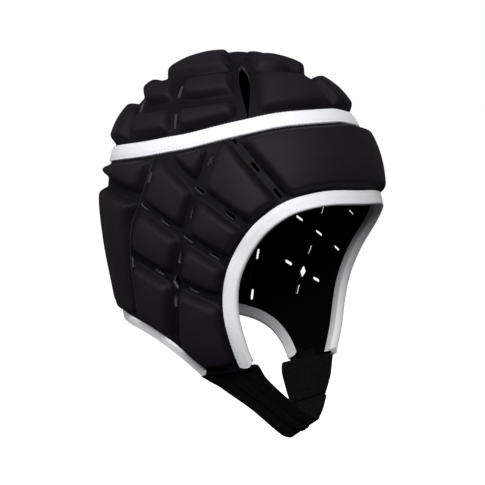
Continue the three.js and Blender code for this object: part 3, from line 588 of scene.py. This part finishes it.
face_long = extended(face_line, TAB_OVER, TAB_OVER)
neck_half = drawn(wrap, NECK_LINE)
neck_whole = np.concatenate([neck_half, mirrored(neck_half, REAR_MIDDLE)[1:]])
neck_line = extended(neck_whole, TAB_OVER, TAB_OVER)
nape_channel = drawn(wrap, NAPE_CHANNEL)
nape_long = extended(nape_channel, LONG, LONG)
side_lines = [drawn(wrap, rows) for rows, _ in SIDE_CHANNELS]
tab_line = np.linspace(face_half[-1], neck_half[0], 50)
side_channels = [(line, CHANNEL_WIDTH) for line in [brow_channel, nape_channel, *side_lines, tab_line]]
side_slots = [
    slot_outline(wrap, drawn(wrap, rows), share, VENT_LENGTH, VENT_WIDTH)
    for rows, shares in [*SEAM_VENTS, *SIDE_CHANNELS]
    for share in shares
]
kite_centre = flat_of(wrap, [KITE_PLACE])[0]
side_slots.append([
    kite_centre + np.array(corner) * KITE / 2
    for corner in ((1, 0), (0.5, 0.6), (0, 1), (-0.5, 0.6), (-1, 0), (-0.5, -0.6), (0, -1), (0.5, -0.6))
])
side_edges = [
    edge(band_front, -1, *BAND_EDGE),
    edge(face_long, 1, *FACE_EDGE),
    edge(neck_line, 1, *NECK_EDGE),
    edge(extended(tab_line, 10, 10), 1, -TAB_OVER, None),
    edge(brow_long, 1, SEAM_GAP / 2 - SEAM_OFFSET, None),
    edge(nape_long, -1, SEAM_GAP / 2 - SEAM_OFFSET, None),
]
side_corners = flat_of(wrap, [(36, 0.38), (118, 0.38), (118, 0.985), (36, 0.985)])
side_cut = (wrap, side_corners, side_edges, side_channels, side_slots)
sides = [padded_panel("side_panel_" + hand, *side_cut, hand == "right") for hand in ("left", "right")]
for side_panel in sides:
    dress(side_panel, "padded_fabric", cloth_material, lining_material, cut_material)

# Nape panel: foam pads round the back of the head, an upper row and columns below it, of the same make.
# It is sewn to both side panels along channels and held under the tapes above and below.
NAPE_CHANNELS = [[(104, 0.545), (115, 0.528), (140, 0.502), (180, 0.502)], [(140, 0.43), (140, 0.87)]]

band_rear = np.concatenate([band_half, mirrored(band_half, REAR_MIDDLE)[1:]])
nape_lines = [nape_channel, *(drawn(wrap, rows) for rows in NAPE_CHANNELS)]
nape_lines += [mirrored(line, REAR_MIDDLE) for line in nape_lines]
nape_lines.append(drawn(wrap, [(180, 0.43), (180, 0.86)]))
nape = padded_panel(
    "nape_panel",
    wrap,
    flat_of(wrap, [(92, 0.42), (268, 0.42), (268, 0.88)]),
    [
        edge(band_rear, -1, *BAND_EDGE),
        edge(neck_line, 1, *NECK_EDGE),
        edge(nape_long, 1, SEAM_OFFSET + SEAM_GAP / 2, None),
        edge(mirrored(nape_long, REAR_MIDDLE), 1, SEAM_OFFSET + SEAM_GAP / 2, None),
    ],
    [(line, CHANNEL_WIDTH) for line in nape_lines],
    [],
)
dress(nape, "padded_fabric", cloth_material, lining_material, cut_material)

# Crown: two panels of the same make, joined along a seam that runs over the head from side to side.
# On each side the seam opens into a long lens, and a flat margin of cloth lies beside it.
CROWN_FRONT_CHANNELS = [([(48, 0.185), (24, 0.187), (0, 0.2)], [])]
CROWN_REAR_CHANNELS = [
    ([(40, 0.185), (61, 0.187), (86, 0.198), (112, 0.2), (132, 0.207), (180, 0.2)], []),
    ([(44, 0.29), (56, 0.288), (82, 0.299), (120, 0.306), (180, 0.302)], []),
    ([(102, 0.2), (92, 0.3), (86, 0.4)], [0.28, 0.74]),
    ([(142, 0.2), (133, 0.268), (126, 0.309), (119, 0.4)], [0.5]),
]
CROWN_SEAM_TURN = 47
CROWN_SEAM = (0.004, 0.42)
LENS = (0.14, 0.345)
LENS_WIDTH = 6.5
LENS_LEAN = 0.7
SEAM_MARGIN = 7
TOP_MARGIN = 3
SEAM_POINTS = 120
TOP_POINTS = 30
CROWN_VENT_LENGTH = 12


def disc(flat, height):
    """The pattern of the crown, flat from above."""
    turn = np.degrees(np.arctan2(flat[:, 0], -flat[:, 1]))
    return off_form(turn, np.hypot(flat[:, 0], flat[:, 1]), height)


def beside(lay, line, distance):
    """A line moved sideways by a true distance on the form, to the left of its travel if positive."""
    run, e = travel(line), PROBE
    level = np.zeros(len(line))
    px = (lay(line + [e, 0], level) - lay(line - [e, 0], level)) / (2 * e)
    py = (lay(line + [0, e], level) - lay(line - [0, e], level)) / (2 * e)
    xx, xy, yy = (px * px).sum(1), (px * py).sum(1), (py * py).sum(1)
    gx, gy = xx * run[:, 0] + xy * run[:, 1], xy * run[:, 0] + yy * run[:, 1]
    size = np.sqrt(xx * gy * gy - 2 * xy * gx * gy + yy * gx * gx)
    return line + np.stack([-gy, gx], axis=-1) * (np.asarray(distance) / size)[:, None]


seam_down = np.linspace(*CROWN_SEAM, SEAM_POINTS)
seam_line = flat_of(disc, [(CROWN_SEAM_TURN, down) for down in seam_down])
seam_whole = np.concatenate([mirrored(seam_line), seam_line])
lens_share = np.clip((seam_down - LENS[0]) / (LENS[1] - LENS[0]), 0, 1)
lens_half = LENS_WIDTH / 2 * np.sin(math.pi * lens_share ** LENS_LEAN)
lens_whole = np.concatenate([lens_half[::-1], lens_half])
band_ring = flat_of(disc, [(math.degrees(x / PATTERN_RADIUS), -y / FORM_LENGTH) for x, y in band_half])
band_ring = np.concatenate([band_ring, mirrored(band_ring)[1:-1]])
ring_closed = np.concatenate([band_ring, band_ring[:2]])
centre_line = drawn(disc, [(0, 0.4), (0, 0.001), (180, 0.43)])


def crown_panel(name, front):
    """One of the two crown panels, in front of the seam or behind it."""
    side = -1 if front else 1
    cloth_edge = beside(disc, seam_whole, side * (SEAM_GAP / 2 + lens_whole))
    channels = CROWN_FRONT_CHANNELS if front else CROWN_REAR_CHANNELS
    lines = [drawn(disc, rows) for rows, _ in channels]
    net = [(line, CHANNEL_WIDTH) for line in [*lines, *(mirrored(line) for line in lines), centre_line]]
    for part, margin in ((seam_line[:TOP_POINTS], TOP_MARGIN), (seam_line[TOP_POINTS:], SEAM_MARGIN)):
        net += [(part, 2 * margin), (mirrored(part), 2 * margin)]
    slots = []
    for line, (_, shares) in zip(lines, channels):
        for share in shares:
            slots.append(slot_outline(disc, line, share, CROWN_VENT_LENGTH, VENT_WIDTH))
            slots.append(slot_outline(disc, mirrored(line), 1 - share, CROWN_VENT_LENGTH, VENT_WIDTH))
    edges = [edge(ring_closed, 1, *BAND_EDGE), edge(extended(cloth_edge, LONG, LONG), side, 0, None)]
    return padded_panel(name, disc, band_ring, edges, net, slots)


for crown_piece in [crown_panel("crown_front_panel", True), crown_panel("crown_rear_panel", False)]:
    dress(crown_piece, "padded_fabric", cloth_material, lining_material, cut_material)

# Crown band: fine white knitted tape, laid flat over the joint between the crown and the panels below.
# A row of stitches at each edge holds it and draws the edge in a little.
BAND_PROUD = 1.5
TAPE_WHITE = (0.65, 0.65, 0.68, 1)
STITCH = 2.4
END_ROUND = 4


def tape(name, lay, line, section, closed=False):
    """A tape of one section swept beside a line.

    The section's points, in turn round it, are reach, height and how far the stitches draw it down.
    """
    section = np.array(section, dtype=float)
    count, turns = len(line), len(section)
    run_line = np.concatenate([line[-1:], line, line[:1]]) if closed else line
    steps = np.linalg.norm(np.diff(lay(line, np.zeros(count)), axis=0), axis=1)
    length = np.concatenate([[0], np.cumsum(steps)])
    whole = length[-1] + (steps[-1] if closed else 0)
    drawn_in = 0.5 + 0.5 * np.sin(length / whole * round(whole / STITCH) * 2 * math.pi)
    rails = []
    for reach, _, _ in section:
        rail = beside(lay, run_line, np.full(len(run_line), reach))
        if closed:
            rails.append(rail[1:-1])
            continue
        off_middle = min(1, abs(2 * reach / section[:, 0].max() - 1))
        short = END_ROUND * (1 - math.sqrt(1 - off_middle ** 2))
        spread = np.linspace(short, count - 1 - short, count)
        column_of = np.arange(count)
        rails.append(np.stack([np.interp(spread, column_of, rail[:, axis]) for axis in (0, 1)], axis=-1))
    bm = bmesh.new()
    wide = count + 1 if closed else count
    bmesh.ops.create_grid(bm, x_segments=wide - 1, y_segments=turns, size=0.5)
    bm.verts.ensure_lookup_table()
    column = np.array([round((v.co.x + 0.5) * (wide - 1)) for v in bm.verts]) % count
    row = np.array([round((v.co.y + 0.5) * turns) for v in bm.verts]) % turns
    flat = np.array([rails[k][i] for i, k in zip(column, row)])
    spots = lay(flat, section[row, 1] - section[row, 2] * drawn_in[column]) * MM
    sides_round = np.linalg.norm(np.diff(section, axis=0, append=section[:1]), axis=1)
    girth = np.concatenate([[0], np.cumsum(sides_round)])
    cloth = bm.loops.layers.uv.new("cloth")
    for f in bm.faces:
        for loop in f.loops:
            v = loop.vert
            loop[cloth].uv = (
                (v.co.x + 0.5) * length[-1] * CLOTH_SCALE,
                np.interp((v.co.y + 0.5) * turns, np.arange(turns + 1), girth) * CLOTH_SCALE,
            )
    for v, spot in zip(bm.verts, spots):
        v.co = spot
    bmesh.ops.remove_doubles(bm, verts=bm.verts[:], dist=1e-6)
    if not closed:
        bmesh.ops.holes_fill(bm, edges=[e for e in bm.edges if e.is_boundary])
    bmesh.ops.recalc_face_normals(bm, faces=bm.faces[:])
    mesh = bpy.data.meshes.new(name)
    bm.to_mesh(mesh)
    bm.free()
    mesh.shade_smooth()
    mesh.set_sharp_from_angle(angle=math.radians(60))
    return linked(name, mesh)


def knitted_tape():
    """White knitted tape: fine ribs across it, a soft nap, and painted shade that greys the nap's hollows
    slightly.
    """
    material, nodes, links, shader = nodes_of("knitted_tape")
    where = nodes.new("ShaderNodeUVMap")
    where.uv_map = "cloth"
    ribs = []
    for axis, scale in (("X", 34), ("Y", 50)):
        rib = nodes.new("ShaderNodeTexWave")
        rib.bands_direction = axis
        rib.inputs["Scale"].default_value = scale
        rib.inputs["Distortion"].default_value = 1.2
        rib.inputs["Detail"].default_value = 2
        links.new(where.outputs["UV"], rib.inputs["Vector"])
        ribs.append(rib)
    place = nodes.new("ShaderNodeTexCoord")
    nap = nodes.new("ShaderNodeTexNoise")
    nap.inputs["Scale"].default_value = 700
    nap.inputs["Detail"].default_value = 4
    links.new(place.outputs["Object"], nap.inputs["Vector"])
    # Painted shade: the colour greys where the nap's bump sinks, in its hollows
    tone = nodes.new("ShaderNodeMix")
    tone.data_type = "RGBA"
    tone.inputs["A"].default_value = (0.56, 0.56, 0.6, 1)
    tone.inputs["B"].default_value = TAPE_WHITE
    links.new(nap.outputs["Fac"], tone.inputs["Factor"])
    links.new(tone.outputs["Result"], shader.inputs["Base Color"])
    shader.inputs["Roughness"].default_value = 0.85
    shader.inputs["Specular IOR Level"].default_value = 0.2
    shader.inputs["Sheen Weight"].default_value = 0.15
    bump_chain(nodes, links, shader, [
        (nap.outputs["Fac"], 0.5, 0.0003),
        (ribs[0].outputs["Fac"], 0.4, 0.00015),
        (ribs[1].outputs["Fac"], 0.3, 0.0001),
    ])
    return material


def band_section():
    """Flat tape with its edges drawn down by the stitches and a slightly full middle."""
    top = SHEET + BAND_PROUD
    half = BAND_WIDTH / 2
    shares = [-1, -0.97, -0.88, -0.78, -0.66, -0.4, 0, 0.4, 0.66, 0.78, 0.88, 0.97, 1]
    drops = [0.9, 0.35, 0.1, 0.25, 0.1, 0.0, -0.05, 0.0, 0.1, 0.25, 0.1, 0.35, 0.9]
    pulls = [0.6, 0.5, 0.25, 0.4, 0, 0, 0, 0, 0, 0.4, 0.25, 0.5, 0.6]
    over = [(half * share, top - drop, pull) for share, drop, pull in zip(shares, drops, pulls)]
    return [(-half, 0, 0), (half, 0, 0)] + over[::-1]


ring_at = np.arange(0, len(band_ring), 0.5)
ring_points = np.concatenate([band_ring, band_ring[:1]])
ring_index = np.arange(len(ring_points))
band_fine = np.stack([np.interp(ring_at, ring_index, ring_points[:, axis]) for axis in (0, 1)], axis=-1)
tape_material = knitted_tape()
crown_band = tape("crown_band", disc, band_fine, band_section(), closed=True)
dress(crown_band, "white_tape", tape_material)

# Face binding: the same knitted tape, folded over the raw edge of the face opening and stitched through.
# Its rounded ends lie over the tabs.
FACE_TAPE_INSIDE = 8


def fold_section(width, inside_width):
    """Tape folded round an edge: two legs, a round fold, and a stitched line near each leg's end."""
    under, over = -TAPE_EASE, SHEET + TAPE_EASE
    middle, reach = (under + over) / 2, (over - under) / 2 + TAPE
    fold = []
    for k in range(13):
        a = math.radians(-90 - 15 * k)
        fold.append((1.9 + 1.9 * math.cos(a), middle + reach * math.sin(a), 0))
    legs = [
        (0.3, 0.1, 0), (0.6, 0.05, 0), (0.76, 0.1, 0),
        (0.84, 0.25, 0.35), (0.91, 0.15, 0.2), (0.98, 0.4, 0.5),
    ]
    lower = [(inside_width * share, under - TAPE + drop, -pull) for share, drop, pull in legs]
    upper = [(width * share, over + TAPE - drop, pull) for share, drop, pull in legs]
    inner = [(width, over, 0), (TAPE + 0.5, over, 0), (TAPE + 0.5, under, 0)]
    return [(inside_width, under, 0), *lower[::-1], *fold, *upper, *inner]


face_binding = tape("face_binding", wrap, face_line, fold_section(FACE_TAPE_WIDTH, FACE_TAPE_INSIDE))
dress(face_binding, "white_tape", tape_material)

# Neck binding: a narrower run of the same tape, folded over the edge at the neck from tab to tab.
# It is stitched through like the face binding, and its ends meet the strap.
NECK_TAPE_INSIDE = 8
neck_binding = tape("neck_binding", wrap, neck_line, fold_section(NECK_TAPE_WIDTH, NECK_TAPE_INSIDE))
dress(neck_binding, "white_tape", tape_material)

# Chin strap: a wide band of brushed loop cloth over thin foam, sewn behind the right tab and led under
# the chin. At the left it overlaps an anchor and grips it as hook and loop do.
STRAP_THICKNESS = 2.5
ANCHOR_LENGTH = 38
STRAP_TOP_WIDTH = 45
STRAP_TOP_TILT = math.radians(13)
STRAP_CHIN_WIDTH = 27
STRAP_CHIN_TILT = math.radians(33)
STRAP_DROP = 41.5
STRAP_FORWARD = 30
STRAP_TUCK = 6
STRAP_INSIDE = 2
STRAP_BELOW = 3.2
STRAP_GRIP = 6
STRAP_MARGIN = 2.5
STRAP_CORNER = 3.5
STRAP_ROUND = 1.4
STRAP_CELL = 0.8
STRAP_CELLS_WIDE = 52
STRAP_PROBE = 0.01
STRAP_STITCHES = (0.36, 0.66)
# Columns: share of the way from the chin to a tab, then run and drop of the front and rear edges
STRAP_ROWS = np.array([
    [0, 1, 1, 1, 1],
    [0.12, 0.9, 0.935, 0.94, 0.96],
    [0.24, 0.77, 0.84, 0.85, 0.84],
    [0.36, 0.62, 0.72, 0.735, 0.69],
    [0.48, 0.5, 0.61, 0.6, 0.53],
    [0.6, 0.43, 0.5, 0.43, 0.38],
    [0.72, 0.35, 0.375, 0.27, 0.24],
    [0.84, 0.21, 0.214, 0.125, 0.11],
    [1, 0, 0, 0, 0],
])
tab_turn = (FACE_LINE[-1][0] + NECK_LINE[0][0]) / 2
tab_down = (FACE_LINE[-1][1] + NECK_LINE[0][1]) / 2 * FORM_LENGTH
tab_end = head_form(tab_turn, tab_down)
tongue_top = head_form(tab_turn, tab_down - STRAP_TUCK + STRAP_BELOW)
strap_top = tab_end - [STRAP_INSIDE, 0, STRAP_BELOW]
chin = np.array([0, tab_end[1] - STRAP_FORWARD, strap_top[2] - STRAP_DROP])
strap_span = np.linalg.norm(strap_top - chin)


def strap_tilt(width, tilt):
    """Half of the strap's width, forward and up."""
    return np.array([0, -width / 2 * math.cos(tilt), width / 2 * math.sin(tilt)])


def strap_edge(column, side, across):
    """A point of the strap's front or rear edge."""
    share = np.minimum(np.abs(across), 1)
    top = strap_top + side * strap_tilt(STRAP_TOP_WIDTH, STRAP_TOP_TILT)
    low = chin + side * strap_tilt(STRAP_CHIN_WIDTH, STRAP_CHIN_TILT)
    y = top[1] + (low[1] - top[1]) * along_rows(STRAP_ROWS, column, share)
    z = top[2] + (low[2] - top[2]) * along_rows(STRAP_ROWS, column + 1, share)
    return np.stack([strap_top[0] * share * np.sign(across), y, z], axis=-1)


def strap_surface(across, over):
    """A point of the strap, from its rear edge at 0 to its front edge at 1."""
    rear, front = strap_edge(3, -1, across), strap_edge(1, 1, across)
    up = tongue_top - strap_top - [2 * STRAP_INSIDE, 0, 0]
    spare = np.maximum(np.abs(across) - 1, 0) * strap_span / STRAP_TUCK
    level = np.ones_like(across)
    rise = np.stack([up[0] * np.sign(across), up[1] * level, up[2] * level], axis=-1)
    return rear + (front - rear) * over[:, None] + rise * spare[:, None]


def strap_place(along, width, height, lifted):
    """Points of the strap from lengths along it, across it and off it."""
    e = STRAP_PROBE
    across, over = along / strap_span, width / STRAP_TOP_WIDTH
    held = np.clip(across, -1, 1)
    step = np.where(held < 0, e, -e)
    way = strap_surface(held + step, over) - strap_surface(held, over)
    wide = strap_surface(held, over + e) - strap_surface(held, over - e)
    normal = np.cross(wide, way) * np.where(held < 0, -1, 1)[:, None]
    normal /= np.linalg.norm(normal, axis=1, keepdims=True)
    t = np.clip(across / (1 - ANCHOR_LENGTH / strap_span), 0, 1)
    lift = (STRAP_THICKNESS + SEAM_GAP) * t * t * (3 - 2 * t) if lifted else 0
    return strap_surface(across, over) + normal * (height + lift)[:, None]


def strap_piece(name, start, end, low, high, thickness, lifted, relief):
    """A band of brushed cloth between two lengths: low and high give its edges across at each length."""
    bm = bmesh.new()
    columns = round((end - start) / STRAP_CELL)
    bmesh.ops.create_grid(bm, x_segments=columns, y_segments=STRAP_CELLS_WIDE, size=0.5)
    inner = list(bm.verts)
    bmesh.ops.extrude_face_region(bm, geom=[*bm.verts, *bm.edges, *bm.faces], use_keep_orig=True)
    outer = list(bm.verts)[len(inner):]
    cloth = bm.loops.layers.uv.new("cloth")
    for f in bm.faces:
        for loop in f.loops:
            x = (loop.vert.co.x + 0.5) * (end - start)
            y = (loop.vert.co.y + 0.5) * STRAP_TOP_WIDTH
            loop[cloth].uv = (x * CLOTH_SCALE, y * CLOTH_SCALE)
    for verts in (inner, outer):
        along = start + (np.array([v.co.x for v in verts]) + 0.5) * (end - start)
        share = np.array([v.co.y for v in verts]) + 0.5
        width = low(along) + (high(along) - low(along)) * share
        to_edge = np.minimum(width - low(along), high(along) - width)
        to_end = np.minimum(along - start, end - along)
        room = np.clip(np.minimum(to_edge, to_end) / STRAP_ROUND, 0, 1)
        puff = thickness * (0.5 - 0.5 * np.sqrt(1 - (1 - room) ** 2))
        height = puff - thickness if verts is inner else relief(along, width) - puff
        for v, spot in zip(verts, strap_place(along, width, height, lifted) * MM):
            v.co = spot
    bmesh.ops.recalc_face_normals(bm, faces=bm.faces[:])
    if bm.calc_volume(signed=True) < 0:
        bmesh.ops.reverse_faces(bm, faces=bm.faces[:])
    mesh = bpy.data.meshes.new(name)
    bm.to_mesh(mesh)
    bm.free()
    mesh.shade_smooth()
    return linked(name, mesh)


def step_between(value, start, end):
    """A smooth step from 0 at start to 1 at end."""
    t = np.clip((value - start) / (end - start), 0, 1)
    return t * t * (3 - 2 * t)


def strap_low(along):
    """Rear edge: the tongue at the right end, the whole width, then a little less over the anchor."""
    tongue = 1 - step_between(along, -strap_span - 0.6, -strap_span + 0.6)
    over_anchor = step_between(along, strap_span - ANCHOR_LENGTH, strap_span - ANCHOR_LENGTH + 2)
    return (STRAP_TOP_WIDTH / 2 - STRAP_GRIP) * tongue + STRAP_MARGIN * over_anchor


def strap_high(along):
    """Front edge, the same way, with a corner that stands out past the right tab."""
    start, end = -strap_span + 0.6, -strap_span + 14
    corner = step_between(along, start - 1.2, start) * (1 - step_between(along, start, end))
    return STRAP_TOP_WIDTH - strap_low(along) + STRAP_CORNER * corner


def strap_relief(along, width):
    """A full ridge between two rows of stitches, and a few soft creases near the tab."""
    share = width / STRAP_TOP_WIDTH
    fade = step_between(along, -strap_span + 4, -strap_span + 16) * step_between(-along, -30, -8)
    rear, front = STRAP_STITCHES
    rows = sum(np.exp(-((share - at) / 0.022) ** 2) for at in STRAP_STITCHES)
    ridge = step_between(share, rear, rear + 0.09) * step_between(-share, -front, 0.09 - front)
    creases = np.array([noise.noise(Vector((x * 0.09, y * 0.16, 3.1))) for x, y in zip(along, width)])
    near_tab = 1 - step_between(along, -strap_span + 6, -strap_span + 34)
    return fade * (0.8 * ridge - 0.6 * rows) + creases * (0.12 + 1.1 * near_tab)


def brushed_cloth():
    """Deep black loop cloth, brushed into a soft nap with short streaks."""
    material, nodes, links, shader = nodes_of("brushed_cloth")
    place = nodes.new("ShaderNodeTexCoord")
    nap = nodes.new("ShaderNodeTexNoise")
    nap.inputs["Scale"].default_value = 560
    nap.inputs["Detail"].default_value = 5
    links.new(place.outputs["Object"], nap.inputs["Vector"])
    streak = nodes.new("ShaderNodeTexNoise")
    streak.inputs["Scale"].default_value = 260
    streak.inputs["Detail"].default_value = 3
    links.new(place.outputs["Object"], streak.inputs["Vector"])
    tone = nodes.new("ShaderNodeMix")
    tone.data_type = "RGBA"
    tone.inputs["A"].default_value = (0.0006, 0.0006, 0.0008, 1)
    tone.inputs["B"].default_value = (0.0042, 0.004, 0.0046, 1)
    links.new(streak.outputs["Fac"], tone.inputs["Factor"])
    links.new(tone.outputs["Result"], shader.inputs["Base Color"])
    shader.inputs["Roughness"].default_value = 0.95
    shader.inputs["Specular IOR Level"].default_value = 0.03
    shader.inputs["Sheen Weight"].default_value = 0.01
    shader.inputs["Sheen Roughness"].default_value = 0.6
    bump_chain(nodes, links, shader, [
        (streak.outputs["Fac"], 0.9, 0.0016),
        (nap.outputs["Fac"], 1.0, 0.0012),
    ])
    return material


strap = strap_piece(
    "chin_strap",
    -strap_span - STRAP_TUCK,
    strap_span - STRAP_TUCK,
    strap_low,
    strap_high,
    STRAP_THICKNESS,
    True,
    strap_relief,
)


strap_material = brushed_cloth()
dress(strap, "strap_fabric", strap_material)

# Strap anchor: a short length of the same brushed cloth, sewn behind the left tab.
# The strap's end lies over it from outside and can be pulled off it.
ANCHOR_THICKNESS = 2


def anchor_low(along):
    """The anchor's rear edge: whole, then the tongue behind the tab."""
    return (STRAP_TOP_WIDTH / 2 - STRAP_GRIP) * step_between(along, strap_span - 0.6, strap_span + 0.6)


anchor = strap_piece(
    "strap_anchor_left",
    strap_span - ANCHOR_LENGTH,
    strap_span + STRAP_TUCK,
    anchor_low,
    lambda along: STRAP_TOP_WIDTH - anchor_low(along),
    ANCHOR_THICKNESS,
    False,
    lambda along, width: np.zeros_like(along),
)
dress(anchor, "strap_fabric", strap_material)

# Studio: a plain white floor well under the strap, a white surround, and large soft lamps.
FLOOR_DROP = 0.06
FLOOR_SIZE = 12
floor_mesh = bpy.data.meshes.new("floor")
bm = bmesh.new()
bmesh.ops.create_grid(bm, x_segments=1, y_segments=1, size=FLOOR_SIZE)
bmesh.ops.translate(bm, vec=(0, 0, cad_low.z - FLOOR_DROP), verts=bm.verts[:])
bm.to_mesh(floor_mesh)
bm.free()
floor = bpy.data.objects.new("floor", floor_mesh)
bpy.context.scene.collection.objects.link(floor)
floor_material, _, _, floor_shader = nodes_of("studio_floor")
floor_shader.inputs["Base Color"].default_value = (0.8, 0.8, 0.8, 1)
floor_shader.inputs["Roughness"].default_value = 0.9
floor_shader.inputs["Emission Color"].default_value = (1, 1, 1, 1)
floor_shader.inputs["Emission Strength"].default_value = 1
floor_mesh.materials.append(floor_material)
floor.visible_diffuse = False
floor.visible_glossy = False

world = bpy.data.worlds.new("studio")
world.use_nodes = True
bpy.context.scene.world = world
air = world.node_tree
surround = air.nodes["Background"]
surround.inputs["Color"].default_value = (1, 1, 1, 1)
surround.inputs["Strength"].default_value = 0.05
seen = air.nodes.new("ShaderNodeBackground")
seen.inputs["Color"].default_value = (1, 1, 1, 1)
path = air.nodes.new("ShaderNodeLightPath")
either = air.nodes.new("ShaderNodeMixShader")
air.links.new(path.outputs["Is Camera Ray"], either.inputs[0])
air.links.new(surround.outputs[0], either.inputs[1])
air.links.new(seen.outputs[0], either.inputs[2])
air.links.new(either.outputs[0], air.nodes["World Output"].inputs["Surface"])
bpy.context.scene.view_settings.view_transform = "Standard"

# Each lamp: name, place, width and power
LAMPS = [
    ("key_lamp", (-1.15, -0.85, 0.6), 0.8, 34),
    ("fill_lamp", (0.4, -1.5, 0.5), 1.0, 2),
    ("top_lamp", (-0.3, -0.2, 1.3), 0.9, 5),
    ("rear_lamp", (-1.3, 0.9, 0.5), 0.7, 13),
]
for lamp_name, lamp_place, lamp_size, lamp_power in LAMPS:
    lamp_data = bpy.data.lights.new(lamp_name, "AREA")
    lamp_data.size = lamp_size
    lamp_data.energy = lamp_power
    lamp = bpy.data.objects.new(lamp_name, lamp_data)
    lamp.location = lamp_place
    lamp_aim = Vector(lamp_place) - Vector((0, 0, VIEW_HEIGHT))
    lamp.rotation_euler = lamp_aim.to_track_quat("Z", "Y").to_euler()
    bpy.context.scene.collection.objects.link(lamp)
